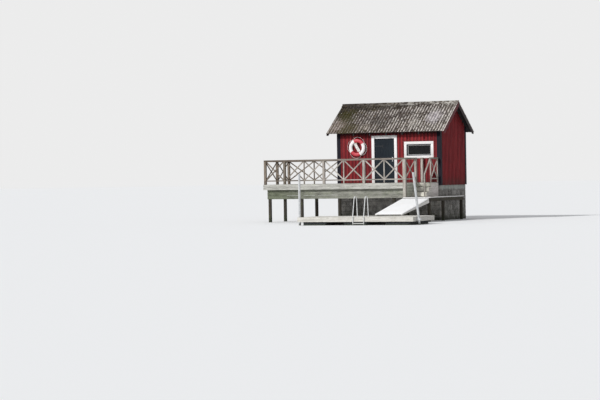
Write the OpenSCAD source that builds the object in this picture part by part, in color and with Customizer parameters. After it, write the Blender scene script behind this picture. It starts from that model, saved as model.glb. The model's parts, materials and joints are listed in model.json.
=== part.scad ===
// Boathouse: a boarded timber hut on a masonry plinth, with a railed deck, a corner stair,
// a landing and a hinged gangway down to a floating jetty that rides on two guide poles.
// x runs along the front wall, y runs back from it, z = 0 is the water level.

/* [Hut] */
// Length of the front wall
hut_l = 4700; // [3800:50:6000]
// Depth of the hut
hut_w = 3000; // [2400:50:4000]
// Top of the plinth above the water
plinth_h = 1470; // [1250:10:1520]
// Thickness of the plinth walls
plinth_t = 220; // [180:10:300]
// Setback of the plinth behind the wall face
plinth_in = 20; // [0:5:40]
// Thickness of the timber walls
wall_t = 120; // [90:5:160]
// Width of the corner boards
corner_w = 150; // [90:5:200]
// Thickness of the corner boards and casings
trim_t = 22; // [18:1:28]

/* [Floor] */
// Height of the floor above the deck
floor_step = 25; // [10:5:60]
// Thickness of the floor boards
floor_board_t = 28; // [20:1:40]
// Thickness of a floor joist
floor_joist_t = 60; // [45:5:80]
// Number of floor joists
floor_joist_n = 7; // [4:1:10]

/* [Roof] */
// Slope of both roof faces in degrees
roof_pitch = 35; // [28:1:42]
// Height of the sheet edge at the eaves
eave_z = 3715; // [3500:5:3900]
// Overhang of the sheets past the front and back walls
eave_out = 310; // [200:10:450]
// Distance from the sheet edge back to the roof boards
sheet_drip = 45; // [20:5:80]
// Overhang of the roof past the right gable
verge_right = 285; // [150:5:450]
// Overhang of the roof past the left gable
verge_left = 395; // [150:5:500]
// Thickness of the roof boards
roof_board_t = 20; // [16:1:28]
// Depth of a rafter
rafter_h = 100; // [80:5:150]
// Thickness of a rafter
rafter_t = 45; // [38:1:60]
// Number of rafters on each face
rafter_n = 5; // [3:1:8]
// Thickness of the ridge board
ridge_board_t = 35; // [28:1:50]
// Depth of the ridge board below the roof boards
ridge_board_h = 150; // [110:5:200]
// Depth of a tie beam
tie_h = 95; // [70:5:120]
// Spacing of the waves of the roof sheet
wave_pitch = 130; // [100:5:180]
// Height of the waves
wave_h = 30; // [20:1:50]
// Thickness of the roof sheet
sheet_t = 6; // [5:1:9]
// Depth of a barge board
barge_h = 165; // [120:5:220]
// Thickness of a barge board
barge_t = 25; // [20:1:30]
// Width of one wing of the ridge cap
cap_wing = 190; // [140:5:260]
// Thickness of the ridge cap
cap_t = 8; // [6:1:12]
// Radius of the roll along the ridge cap
cap_r = 46; // [35:1:60]

/* [Door] */
// Centre of the doorway left of the right front corner
door_x = 2531; // [2100:5:2900]
// Width of the door leaf
leaf_w = 850; // [750:5:950]
// Height of the door leaf
leaf_h = 1815; // [1700:5:1850]
// Thickness of the door leaf
leaf_t = 44; // [36:1:54]
// Gap around the door leaf
leaf_gap = 5; // [5:1:8]
// Thickness of the door frame
jamb_t = 45; // [30:1:55]
// Width of the door casing
casing_w = 127; // [90:1:150]
// Strip of frame left bare beside the casing
casing_reveal = 25; // [15:1:35]
// Radius of a door hinge knuckle
knuckle_r = 8; // [6:0.5:10]
// Radius of a door hinge pin
hinge_pin_r = 4.5; // [3:0.5:6]
// Play of a pin in its eye
pin_play = 0.05; // [0.01:0.01:0.1]
// Height of a hinge knuckle
knuckle_h = 34; // [24:1:50]
// Gap between the two knuckles of a hinge
knuckle_gap = 1; // [0.5:0.5:2]
// Setback of the hinge pin behind the edge of the frame
knuckle_in = 3; // [1:1:6]
// Width and thickness of the hinge wing on the frame
wing_w = 16; // [10:1:22]
wing_t = 2; // [1:0.5:3]
// Length and thickness of a strap hinge
strap_l = 320; // [200:10:400]
strap_t = 4; // [3:0.5:5]
// Height of the lower hinge above the floor
hinge_low = 250; // [150:10:350]
// Distance of the upper hinge below the head of the leaf
hinge_high = 300; // [200:10:400]
// Height of the lever above the floor
lever_z = 980; // [850:10:1100]
// Distance of the lever from the edge of the leaf
lever_in = 60; // [40:5:80]
// Radius of the lever
lever_r = 9; // [6:0.5:12]
// Length of its neck and of its grip
lever_neck = 50; // [35:5:70]
lever_l = 120; // [90:5:140]
// Width and thickness of the lever plate
lever_plate_w = 40; // [30:2:50]
lever_plate_t = 6; // [3:1:8]
// Reach of the plate above and below the lever
lever_plate_up = 70; // [40:5:100]
lever_plate_down = 110; // [80:5:150]

/* [Window] */
// Centre of the window left of the right front corner
win_x = 961; // [850:5:1150]
// Width of the window frame
win_w = 1120; // [900:10:1200]
// Height of the window frame
win_h = 500; // [400:10:650]
// Foot of the window frame above the deck
win_up = 1115; // [900:5:1200]
// Width of the window casing
win_casing = 112; // [80:1:130]
// Lap of the window casing over the frame
win_lap = 10; // [5:1:20]
// Setback of the sash behind the wall face
sash_y = 40; // [20:5:60]
// Thickness of the window frame members
win_frame_t = 28; // [20:1:40]
// Width of the sash members
sash_w = 32; // [25:1:50]
// Thickness of the sash
sash_t = 36; // [28:1:44]
// Thickness of the glass
glass_t = 4; // [3:1:6]

/* [Lifebuoy] */
// Centre of the lifebuoy left of the right front corner
buoy_x = 3755; // [3650:5:3900]
// Height of its centre above the deck
buoy_up = 1510; // [1300:5:1650]
// Outer radius of the ring
buoy_r = 375; // [300:5:400]
// Inner radius of the ring
buoy_in = 220; // [180:5:240]
// Thickness of the ring from wall to front
buoy_t = 100; // [80:5:120]
// Gap between the wall and the ring
buoy_off = 22; // [20:1:40]
// Radius of the peg that the ring hangs on
peg_r = 13; // [8:1:18]
// Width and thickness of the head of the peg
peg_head_r = 18; // [14:1:24]
peg_head_t = 12; // [8:1:16]
// Reach of the peg past the ring
peg_out = 18; // [14:1:30]
// Gap between the ring and what holds it or is tied to it
held_gap = 0.3; // [0.1:0.1:0.5]
// Turn of the ring on its peg in degrees
buoy_tilt = -15; // [-30:1:30]
// Radius of the grab line
grab_r = 6; // [5:0.5:8]
// Slack of the grab line past the ring
grab_slack = 70; // [40:5:90]
// Radius of the folded rescue line
rescue_r = 10; // [8:1:12]
// Number of strands in the folded rescue line
rescue_n = 6; // [4:1:8]
// Gap between two strands
strand_gap = 1; // [0.5:0.5:3]
// Width and thickness of the band around the folded line
band_w = 36; // [20:1:60]
band_t = 2; // [1:0.5:4]

/* [Deck] */
// Top of the deck above the water
deck_z = 1600; // [1560:5:1650]
// Depth of the deck in front of the hut
deck_d = 2048; // [1700:10:2600]
// Length of the deck past the left gable
deck_past = 2526; // [1800:10:3200]
// Gap between the deck end and the right front corner
deck_short = 740; // [650:5:1000]
// Depth of the deck behind the front wall line, left of the hut
deck_back = 350; // [250:10:900]
// Thickness of the deck boards
deck_t = 28; // [22:1:40]
// Depth of a deck joist
joist_h = 145; // [120:5:175]
// Thickness of a deck joist
joist_t = 45; // [38:1:60]
// Number of deck joists
joist_n = 11; // [7:1:15]
// Depth and thickness of a deck beam
beam_h = 150; // [120:5:200]
beam_t = 95; // [70:5:120]
// Width of a deck post
post_w = 110; // [90:5:140]
// Places of the three right posts of a row left of the right front corner
post_xs = [5600, 3860, 1400]; // [1200:10:6400]
// Distance of the back row of posts in front of the hut
back_row = 450; // [300:10:700]
// Height of a fascia board
fascia_h = 112; // [90:2:125]
// Gap between two boards laid edge to edge
board_gap = 6; // [3:1:10]
// Thickness of fascia and skirt boards
fascia_t = 28; // [22:1:35]
// Height of a skirt board
skirt_h = 145; // [110:5:170]
// Number of skirt boards
skirt_n = 3; // [2:1:5]
// Setback of the skirt behind the deck edge
skirt_in = 130; // [90:5:200]

/* [Railing] */
// Top of the railing above the deck
rail_h = 1030; // [900:10:1100]
// Width of a main railing post
rail_post_w = 95; // [70:5:120]
// Width of an intermediate railing post
rail_thin_w = 45; // [38:1:60]
// Thickness of the top and bottom rails
rail_t = 45; // [36:1:60]
// Height of the top rail
rail_top_h = 70; // [50:5:90]
// Height of the bottom rail
rail_low_h = 45; // [36:1:60]
// Gap between the deck and the bottom rail
rail_lift = 130; // [80:5:180]
// Width of a diagonal
brace_w = 48; // [36:1:60]
// Thickness of a diagonal
brace_t = 21; // [16:1:26]
// Bays along the front
bays_front = 7; // [4:1:9]
// Bays along the left side
bays_side = 2; // [1:1:4]
// Width of the corner newel by the stair
newel_w = 120; // [100:5:140]

/* [Stair and landing] */
// Top of the landing above the water
landing_z = 1005; // [900:5:1100]
// Length of the landing past the right front corner
landing_past = 353; // [300:5:600]
// Reach of the landing along the right gable
landing_side = 1750; // [600:10:2400]
// Distance of the landing edge in front of the deck edge
landing_out = 52; // [30:2:80]
// Depth of the deck strip in front of the window
strip_d = 850; // [700:10:950]
// Gap from the stair to the right front corner
stair_in = 100; // [60:5:160]
// Depth of one tread
tread_d = 270; // [240:5:300]
// Number of risers
riser_n = 3; // [3:1:4]
// Height of the riser boards
riser_h = 150; // [100:5:170]
// Distance of the stair post in front of the stair
stair_post_out = 150; // [60:10:240]
// Height of the handrail's underside at the stair post
stair_post_h = 875; // [800:5:1000]
// Thickness of the cheek boards
cheek_t = 25; // [18:1:30]
// Depth of the landing beams
landing_beam_h = 145; // [120:5:180]
// Distance of the middle landing post in front of the hut
landing_post = 500; // [300:10:900]

/* [Gangway] */
// Width of the gangway
gang_w = 1162; // [900:5:1200]
// Gap from its right edge to the landing's right edge
gang_in = 45; // [20:5:200]
// Length from the hinge to the toe
gang_l = 2950; // [2700:10:3200]
// Distance of the hinge pin in front of the landing
gang_pin_out = 30; // [26:1:45]
// Drop of the hinge pin below the landing
gang_pin_drop = 75; // [60:5:110]
// Radius of the gangway hinge pins
gang_pin_r = 8; // [6:1:12]
// Outer radius of the hinge barrels
gang_barrel_r = 20; // [16:1:22]
// Rise of the barrels past the top of the beams
barrel_bite = 13; // [8:1:16]
// Length of a hinge barrel
barrel_l = 60; // [40:5:90]
// Distance of a hinge from the edge of the gangway
gang_hinge_in = 220; // [150:10:300]
// Length and thickness of a hinge leaf
hinge_leaf_l = 300; // [200:10:400]
hinge_leaf_t = 8; // [6:1:10]
// Thickness of a hinge lug
lug_t = 10; // [8:1:14]
// Play between a lug and its barrel
lug_play = 1.5; // [1:0.5:3]
// Reach of a pin past its lugs
pin_end = 4; // [2:1:8]
// Gap between the gangway deck and the barrels
gang_deck_gap = 4; // [2:1:8]
// Number of cross members
gang_cross_n = 3; // [2:1:5]
// Depth of a side beam at the hinge
gang_beam_h = 165; // [120:5:190]
// Depth of a side beam at the toe
gang_toe_h = 32; // [25:1:60]
// Thickness of a side beam
gang_beam_t = 45; // [36:1:60]
// Running gap between the toe and the jetty
toe_gap = 12; // [8:1:20]

/* [Jetty] */
// Left end of the jetty left of the right front corner
jetty_left = 3318; // [3000:10:3600]
// Length of the jetty
jetty_l = 4904; // [4200:10:5600]
// Width of the jetty
jetty_w = 2209; // [1800:10:2600]
// Front edge of the jetty in front of the hut
jetty_out = 7025; // [6900:5:7200]
// Top of the jetty above the water
jetty_z = 320; // [280:5:380]
// Height of the jetty frame boards
jetty_frame_h = 157; // [120:1:180]
// Length of a float
float_l = 1000; // [700:10:1300]
// Number of floats
float_n = 3; // [2:1:4]
// Distance of the end floats from the ends of the jetty
float_end = 200; // [100:10:400]
// Setback of the floats behind the long sides
float_in = 90; // [60:5:150]
// Number of bays between the cross members
jetty_bays = 6; // [4:1:9]
// Rise of the jetty with the water
jetty_rise = 300; // [100:10:400]
// Radius of a guide pole
pole_r = 45; // [35:1:60]
// Height of the guide poles above the water
pole_h = 2030; // [1600:10:2400]
// Lean of the right guide pole in degrees
pole_lean = 6.5; // [0:0.5:8]
// Distance of the poles behind the jetty front
pole_back = 350; // [250:10:500]
// Running gap between a pole and its guide
pole_gap = 9; // [6:1:20]
// Thickness and height of the guide irons
iron_t = 8; // [6:1:12]
iron_h = 60; // [40:5:80]

/* [Ladder] */
// Centre of the ladder left of the right front corner
ladder_x = 695; // [600:5:1800]
// Width between the ladder tubes
ladder_w = 463; // [380:5:520]
// Radius of the ladder tubes
ladder_r = 17; // [14:1:22]
// Height of the handles above the jetty
ladder_h = 800; // [650:10:950]
// Bend radius of the handles
ladder_bend = 100; // [60:5:110]
// Thickness of the elbow sleeves
sleeve_t = 1.5; // [1:0.5:3]
// Length of tube inside a sleeve
elbow_lap = 4; // [2:1:8]
// Distance of the handle feet behind the jetty front
ladder_foot = 430; // [350:10:520]
// Distances of the back and front bends of a handle behind the jetty front
ladder_back = 370; // [300:10:450]
ladder_front = 150; // [120:10:220]
// Height of the knee above the jetty
ladder_knee = 20; // [10:5:40]
// Height of the rung above the water
rung_z = 70; // [50:5:110]
// Width and depth of a foot plate
foot_plate_w = 70; // [50:5:90]
foot_plate_d = 80; // [60:5:100]
// Width and height of a side plate
side_plate_w = 50; // [40:5:70]
side_plate_h = 100; // [80:5:120]
// Thickness that a side plate adds to the guide iron's
side_plate_out = 4; // [2:1:6]

/* [Hidden] */
$fn = 48;
// How far a cut reaches past the face that it opens
over = 1;
// Play under a part that rests on another
seat_play = 0.02;

// Heights and slopes that the driving sizes give
tan_p = tan(roof_pitch);
cos_p = cos(roof_pitch);
mid_y = hut_w / 2;
floor_z = deck_z + floor_step;
stack_t = roof_board_t + rafter_h;
function roof_z(y) = eave_z + (y + eave_out) * tan_p;
function boards_under(y) = roof_z(y) - (roof_board_t + seat_play) / cos_p;
function rafters_under(y) = roof_z(y) - stack_t / cos_p;
rafter_run = hut_l - 2 * wall_t;
function rafter_x(i) = -hut_l + wall_t + rafter_run * (i + 1) / (rafter_n + 1);

// The doorway and the window
frame_w = leaf_w + 2 * (leaf_gap + jamb_t);
frame_top = floor_z + 2 * leaf_gap + leaf_h + jamb_t;
jamb_x = -door_x - leaf_w / 2 - leaf_gap;
hinge_x = jamb_x - knuckle_in;
hinge_y = -knuckle_r - knuckle_gap;
hinge_zs = [floor_z + hinge_low, floor_z + leaf_h - hinge_high];
win_z = deck_z + win_up;

// The deck, the stair and the landing
deck_x0 = -hut_l - deck_past;
deck_x1 = -deck_short;
joist_top = deck_z - deck_t;
beam_top = joist_top - joist_h;
stair_x1 = -stair_in;
rise = (deck_z - landing_z) / riser_n;
landing_y0 = -deck_d - landing_out;
landing_x0 = deck_x1 - newel_w;
rail_x0 = deck_x0 + rail_post_w / 2;
rail_y0 = -deck_d + rail_post_w / 2;
newel_x = deck_x1 - newel_w / 2;
newel_y = -deck_d - fascia_t + newel_w / 2;
skirt_y = -deck_d + skirt_in;
end_rail_x = stair_x1 - rail_thin_w / 2;
foot_y = -strip_d - (riser_n - 1) * tread_d;
hand_y0 = foot_y - stair_post_out;
hand_z0 = landing_z + stair_post_h;
back_row_y = -back_row;

// The gangway
gang_x1 = landing_past - gang_in;
gang_x0 = gang_x1 - gang_w;
pin_y = landing_y0 - gang_pin_out;
pin_z = landing_z - gang_pin_drop;
gang_top = gang_barrel_r - barrel_bite + deck_t;
toe_n = gang_top - deck_t - gang_toe_h;
toe_drop = pin_z - jetty_z - toe_gap;
gang_flat = asin((toe_drop + toe_n) / gang_l);
gang_a = asin((toe_drop + toe_n * cos(gang_flat)) / gang_l);
hinge_xs = [gang_x0 + gang_hinge_in, gang_x1 - gang_hinge_in];

// The jetty
jetty_x0 = -jetty_left;
jetty_x1 = jetty_x0 + jetty_l;
jetty_y0 = -jetty_out;
jetty_y1 = jetty_y0 + jetty_w;
frame_z0 = jetty_z - deck_t - jetty_frame_h;
pole_y = jetty_y0 + pole_back;
iron_z = frame_z0 + (jetty_frame_h - iron_h) / 2;
pole_foot = jetty_x1 + pole_gap + pole_r / cos(pole_lean) + (iron_z + iron_h + jetty_rise) * tan(pole_lean);

iron_reach = pole_foot - jetty_x1 + pole_r + pole_gap + iron_t;

// The whole object stands with the middle of its box over the origin
box_y0 = jetty_y0 - iron_t - 2 * ladder_r - sleeve_t;
box_y1 = hut_w + eave_out + wave_h * sin(roof_pitch);
module placed() {
    translate([-(deck_x0 - fascia_t + jetty_x1 + iron_reach) / 2, -(box_y0 + box_y1) / 2, 0]) children();
}

// Helpers
module block(x, y, z) {
    translate([x[0], y[0], z[0]]) cube([x[1] - x[0], y[1] - y[0], z[1] - z[0]]);
}
module along_x(x0, x1) {
    translate([x0, 0, 0]) rotate([90, 0, 90]) linear_extrude(x1 - x0) children();
}
module to_back() {
    translate([0, hut_w, 0]) mirror([0, 1, 0]) children();
}
module rod_x(x0, x1, r) {
    translate([x0, 0, 0]) rotate([0, 90, 0]) cylinder(h = x1 - x0, r = r);
}
function heading(u) = atan2(u[1], u[0]);
function unit(a, b) = (b - a) / norm(b - a);
function bend_turn(p, i) = heading2(unit(p[i - 1], p[i]), unit(p[i], p[i + 1]));
function heading2(u, v) = atan2(u[0] * v[1] - u[1] * v[0], u * v);
function bend_cut(p, i, radius) =
    i == 0 || i == len(p) - 1 ? 0 : radius * tan(abs(bend_turn(p, i)) / 2);

// A round tube through the points of a flat path, with a sleeved elbow at each bend
module bent_tube(p, radius, r) {
    for (i = [0:len(p) - 2]) {
        u = unit(p[i], p[i + 1]);
        lap_in = i == 0 ? 0 : elbow_lap;
        lap_out = i == len(p) - 2 ? 0 : elbow_lap;
        start = p[i] + u * (bend_cut(p, i, radius) - lap_in);
        run = norm(p[i + 1] - p[i]) - bend_cut(p, i, radius) - bend_cut(p, i + 1, radius) + lap_in + lap_out;
        translate([start[0], start[1], 0]) rotate([0, 0, heading(u)])
            rotate([0, 90, 0]) cylinder(h = run, r = r);
    }
    for (i = [1:len(p) - 2]) {
        u = unit(p[i - 1], p[i]);
        v = unit(p[i], p[i + 1]);
        turn = bend_turn(p, i);
        side = sign(turn);
        start = p[i] - u * bend_cut(p, i, radius);
        finish = p[i] + v * bend_cut(p, i, radius);
        centre = start + side * radius * [-u[1], u[0]];
        first = turn > 0 ? start : finish;
        translate([centre[0], centre[1], 0]) rotate([0, 0, heading(first - centre)])
            rotate_extrude(angle = abs(turn)) translate([radius, 0]) circle(r + sleeve_t);
    }
}

// Plinth and floor
module plinth() {
    color("dimgray") difference() {
        block([-hut_l + plinth_in, -plinth_in], [plinth_in, hut_w - plinth_in], [0, plinth_h]);
        block([-hut_l + plinth_in + plinth_t, -plinth_in - plinth_t],
              [plinth_in + plinth_t, hut_w - plinth_in - plinth_t], [-over, plinth_h + over]);
    }
}
module floor() {
    step = (hut_l - 2 * wall_t - floor_joist_t) / (floor_joist_n - 1);
    color("burlywood") {
        block([-hut_l + wall_t, -wall_t], [wall_t, hut_w - wall_t], [floor_z - floor_board_t, floor_z]);
        for (i = [0:floor_joist_n - 1])
            block([-hut_l + wall_t + i * step, -hut_l + wall_t + i * step + floor_joist_t],
                  [wall_t, hut_w - wall_t], [plinth_h, floor_z - floor_board_t]);
    }
}

// Walls: the front and back walls rise between the rafters to the roof boards
module eave_wall(x0, x1, z0) {
    difference() {
        along_x(x0, x1) polygon([[0, z0], [wall_t, z0], [wall_t, boards_under(wall_t)], [0, boards_under(0)]]);
        for (i = [0:rafter_n - 1]) along_x(rafter_x(i) - rafter_t / 2, rafter_x(i) + rafter_t / 2)
            polygon([[-over, rafters_under(-over)], [wall_t + over, rafters_under(wall_t + over)],
                     [wall_t + over, roof_z(wall_t + over)], [-over, roof_z(-over)]]);
    }
}
module front_wall_left() {
    color("firebrick") eave_wall(-hut_l + wall_t, -door_x - frame_w / 2, plinth_h);
}
module front_wall_over_door() {
    color("firebrick") eave_wall(-door_x - frame_w / 2, -door_x + frame_w / 2, frame_top);
}
module front_wall_right() {
    color("firebrick") difference() {
        eave_wall(-door_x + frame_w / 2, -wall_t, plinth_h);
        block([-win_x - win_w / 2, -win_x + win_w / 2], [-over, wall_t + over], [win_z, win_z + win_h]);
    }
}
module back_wall() {
    color("firebrick") to_back() eave_wall(-hut_l + wall_t, -wall_t, plinth_h);
}
module gable(x0) {
    along_x(x0, x0 + wall_t) polygon([
        [0, plinth_h], [hut_w, plinth_h], [hut_w, boards_under(0)],
        [mid_y, boards_under(mid_y)], [0, boards_under(0)]
    ]);
}
module left_gable() {
    color("firebrick") gable(-hut_l);
}
module right_gable() {
    color("firebrick") gable(-wall_t);
}
module corner_board_pair() {
    along_x(0, trim_t) polygon([
        [-trim_t, plinth_h], [corner_w, plinth_h],
        [corner_w, boards_under(corner_w)], [-trim_t, boards_under(-trim_t)]
    ]);
    along_x(-corner_w, 0) polygon([
        [-trim_t, plinth_h], [0, plinth_h], [0, boards_under(0)], [-trim_t, boards_under(-trim_t)]
    ]);
}
module corner_boards() {
    color("darkslategray") for (side = [0, 1]) {
        mirror_x(side) mirror_y(0) corner_board_pair();
        mirror_x(side) mirror_y(1) corner_board_pair();
    }
}
module mirror_x(on) {
    translate([on ? -hut_l : 0, 0, 0]) mirror([on, 0, 0]) children();
}
module mirror_y(on) {
    translate([0, on ? hut_w : 0, 0]) mirror([0, on, 0]) children();
}

// Roof
module slope(x0, x1, y0, y1, top, thick) {
    low = top - thick;
    along_x(x0, x1) polygon([
        [y0, roof_z(y0) + low / cos_p], [y1, roof_z(y1) + low / cos_p],
        [y1, roof_z(y1) + top / cos_p], [y0, roof_z(y0) + top / cos_p]
    ]);
}
roof_x0 = -hut_l - verge_left;
roof_x1 = verge_right;
module rafters() {
    for (i = [0:rafter_n - 1])
        slope(rafter_x(i) - rafter_t / 2, rafter_x(i) + rafter_t / 2, -eave_out + sheet_drip,
              mid_y - ridge_board_t / 2, -roof_board_t - seat_play, rafter_h - seat_play);
}
module rafters_front() {
    color("saddlebrown") rafters();
}
module rafters_back() {
    color("saddlebrown") to_back() rafters();
}
module ridge_board() {
    top = boards_under(mid_y - ridge_board_t / 2);
    color("saddlebrown") along_x(-hut_l + wall_t, -wall_t) polygon([
        [mid_y - ridge_board_t / 2, top - ridge_board_h], [mid_y + ridge_board_t / 2, top - ridge_board_h],
        [mid_y + ridge_board_t / 2, top], [mid_y, boards_under(mid_y)], [mid_y - ridge_board_t / 2, top]
    ]);
}
module tie_beams() {
    tie_top = rafters_under(wall_t);
    color("saddlebrown") for (i = [0:rafter_n - 1]) {
        x0 = rafter_x(i) + rafter_t / 2;
        block([x0, x0 + rafter_t], [wall_t, hut_w - wall_t], [tie_top - tie_h, tie_top]);
    }
}
module roof_boards() {
    slope(roof_x0 + barge_t, roof_x1 - barge_t, -eave_out + sheet_drip, mid_y, 0, roof_board_t);
}
module roof_boards_front() {
    color("dimgray") roof_boards();
}
module roof_boards_back() {
    color("dimgray") to_back() roof_boards();
}
module roof_sheet() {
    steps = 8;
    waves = ceil((roof_x1 - roof_x0) / wave_pitch);
    width = roof_x1 - roof_x0;
    run = (mid_y + eave_out) / cos_p;
    function wave(x) = (wave_h - sheet_t) / 2 * (1 - cos(360 * x / wave_pitch));
    xs = [for (i = [0:waves * steps]) min(width, i * wave_pitch / steps)];
    outline = concat(
        [for (x = xs) [x, wave(x)]],
        [for (i = [len(xs) - 1:-1:0]) [xs[i], wave(xs[i]) + sheet_t]]
    );
    translate([roof_x0, -eave_out, eave_z]) rotate([roof_pitch, 0, 0])
        translate([0, run, 0]) rotate([90, 0, 0]) linear_extrude(run) polygon(outline);
}
module roof_sheet_front() {
    color("gray") roof_sheet();
}
module roof_sheet_back() {
    color("gray") to_back() roof_sheet();
}
module cap_half() {
    rise0 = roof_z(mid_y) + wave_h / cos_p;
    drop = cap_wing * cos_p;
    along_x(roof_x0, roof_x1) polygon([
        [mid_y, rise0], [mid_y, rise0 + cap_t / cos_p],
        [mid_y - drop, rise0 + cap_t / cos_p - drop * tan_p], [mid_y - drop, rise0 - drop * tan_p]
    ]);
}
module ridge_cap() {
    apex = roof_z(mid_y) + (wave_h + cap_t) / cos_p;
    color("darkgray") {
        cap_half();
        to_back() cap_half();
        intersection() {
            translate([0, mid_y, apex - cap_r / 2]) rod_x(roof_x0, roof_x1, cap_r);
            along_x(roof_x0, roof_x1) polygon([
                [mid_y, apex - cap_t / cos_p], [mid_y + cap_wing, apex - cap_t / cos_p - cap_wing * tan_p],
                [mid_y + cap_wing, apex + cap_r], [mid_y - cap_wing, apex + cap_r],
                [mid_y - cap_wing, apex - cap_t / cos_p - cap_wing * tan_p]
            ]);
        }
    }
}
module barge_pair(x0) {
    slope(x0, x0 + barge_t, -eave_out + sheet_drip, mid_y, 0, barge_h);
    to_back() slope(x0, x0 + barge_t, -eave_out + sheet_drip, mid_y, 0, barge_h);
}
module barge_boards() {
    color("black") {
        barge_pair(roof_x0);
        barge_pair(roof_x1 - barge_t);
    }
}

// Door
module door_frame() {
    x0 = -door_x - frame_w / 2;
    x1 = -door_x + frame_w / 2;
    color("darkslategray") difference() {
        block([x0, x1], [0, wall_t], [plinth_h, frame_top]);
        block([x0 + jamb_t, x1 - jamb_t], [-over, wall_t + over], [floor_z, frame_top - jamb_t]);
    }
}
module door_casing() {
    inner = frame_w / 2 - jamb_t + casing_reveal;
    top = frame_top - jamb_t + casing_reveal;
    color("white") difference() {
        block([-door_x - inner - casing_w, -door_x + inner + casing_w], [-trim_t, 0], [deck_z, top + casing_w]);
        block([-door_x - inner, -door_x + inner], [-trim_t - over, over], [deck_z - over, top]);
    }
}
module door_hinges() {
    color("dimgray") for (z = hinge_zs) {
        low = z - knuckle_h - knuckle_gap;
        translate([hinge_x, hinge_y, low]) cylinder(h = knuckle_h, r = knuckle_r);
        translate([hinge_x, hinge_y, low + knuckle_h / 2])
            cylinder(h = 3 / 2 * knuckle_h + 2 * knuckle_gap, r = hinge_pin_r);
        block([hinge_x - wing_w, hinge_x], [hinge_y - wing_t, 0], [low, low + knuckle_h]);
    }
}
module door_leaf() {
    z0 = floor_z + leaf_gap;
    x0 = jamb_x + leaf_gap;
    color("darkslategray") difference() {
        union() {
            block([x0, x0 + leaf_w], [0, leaf_t], [z0, z0 + leaf_h]);
            for (z = hinge_zs) {
                translate([hinge_x, hinge_y, z]) cylinder(h = knuckle_h, r = knuckle_r);
                block([hinge_x, x0 + strap_l], [-strap_t, 0], [z, z + knuckle_h]);
            }
        }
        for (z = hinge_zs) translate([hinge_x, hinge_y, z - over])
            cylinder(h = knuckle_h + 2 * over, r = hinge_pin_r + pin_play);
    }
}
module door_lever() {
    x = jamb_x + leaf_gap + leaf_w - lever_in;
    z = floor_z + lever_z;
    color("silver") for (face = [0, 1]) translate([x, face * leaf_t, z]) mirror([0, face, 0]) {
        block([-lever_plate_w / 2, lever_plate_w / 2], [-lever_plate_t, 0],
              [-lever_plate_down, lever_plate_up]);
        rotate([90, 0, 0]) cylinder(h = lever_neck, r = lever_r);
        translate([0, -lever_neck, 0]) rotate([0, -90, 0]) cylinder(h = lever_l, r = lever_r);
    }
}

// Window
module ring_xz(x, z, w, h, y, width) {
    difference() {
        block([x - w / 2, x + w / 2], y, [z, z + h]);
        block([x - w / 2 + width, x + w / 2 - width], [y[0] - over, y[1] + over], [z + width, z + h - width]);
    }
}
module window_casing() {
    grown = win_casing - win_lap;
    color("white") {
        ring_xz(-win_x, win_z - grown, win_w + 2 * grown, win_h + 2 * grown, [-trim_t, 0], win_casing);
        ring_xz(-win_x, win_z, win_w, win_h, [0, wall_t], win_frame_t);
    }
}
module window_sash() {
    color("white") ring_xz(-win_x, win_z + win_frame_t, win_w - 2 * win_frame_t, win_h - 2 * win_frame_t,
                           [sash_y, sash_y + sash_t], sash_w);
}
module window_glass() {
    edge = win_frame_t + sash_w;
    color("lightblue") block([-win_x - win_w / 2 + edge, -win_x + win_w / 2 - edge],
        [sash_y + sash_t / 2, sash_y + sash_t / 2 + glass_t], [win_z + edge, win_z + win_h - edge]);
}

// Lifebuoy
module facing_front() {
    translate([-buoy_x, -buoy_off, deck_z + buoy_up]) rotate([90, 0, 0]) rotate([0, 0, buoy_tilt]) children();
}
module lifebuoy() {
    half = buoy_t / 2;
    color("orangered") facing_front() translate([0, 0, half]) rotate_extrude() {
        translate([buoy_in + half, 0]) circle(half);
        translate([buoy_r - half, 0]) circle(half);
        translate([buoy_in + half, -half]) square([buoy_r - buoy_in - buoy_t, buoy_t]);
    }
}
module buoy_peg() {
    reach = buoy_off + buoy_t + peg_out;
    color("tan") translate([-buoy_x, 0, deck_z + buoy_up + buoy_in - peg_r - held_gap]) rotate([90, 0, 0]) {
        cylinder(h = reach, r = peg_r);
        translate([0, 0, reach - peg_head_t]) cylinder(h = peg_head_t, r = peg_head_r);
    }
}
module lifebuoy_lines() {
    half = buoy_t / 2;
    held_r = buoy_r + grab_r + held_gap;
    chord = held_r * sqrt(2);
    sag = held_r * (1 - cos(45)) + grab_slack;
    arc_r = (chord * chord / 4 + sag * sag) / (2 * sag);
    arc_a = 2 * asin(chord / 2 / arc_r);
    away = held_r + grab_slack - arc_r;
    pitch = 2 * rescue_r + strand_gap;
    half_w = rescue_n * pitch / 2;
    reach = sqrt(buoy_in * buoy_in - half_w * half_w) - held_gap;
    color("white") facing_front() translate([0, 0, half]) {
        for (k = [0:3]) rotate([0, 0, 90 * k]) translate([away, 0, 0]) rotate([0, 0, -arc_a / 2])
            rotate_extrude(angle = arc_a) translate([arc_r, 0]) circle(grab_r, $fn = 16);
        rotate([0, 0, 45]) {
            for (i = [0:rescue_n - 1]) translate([pitch / 2 - half_w + i * pitch, reach, 0])
                rotate([90, 0, 0]) cylinder(h = 2 * reach, r = rescue_r, $fn = 16);
            block([-half_w - band_t, half_w + band_t], [-band_w / 2, band_w / 2],
                  [-rescue_r - band_t, rescue_r + band_t]);
        }
    }
}

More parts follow.
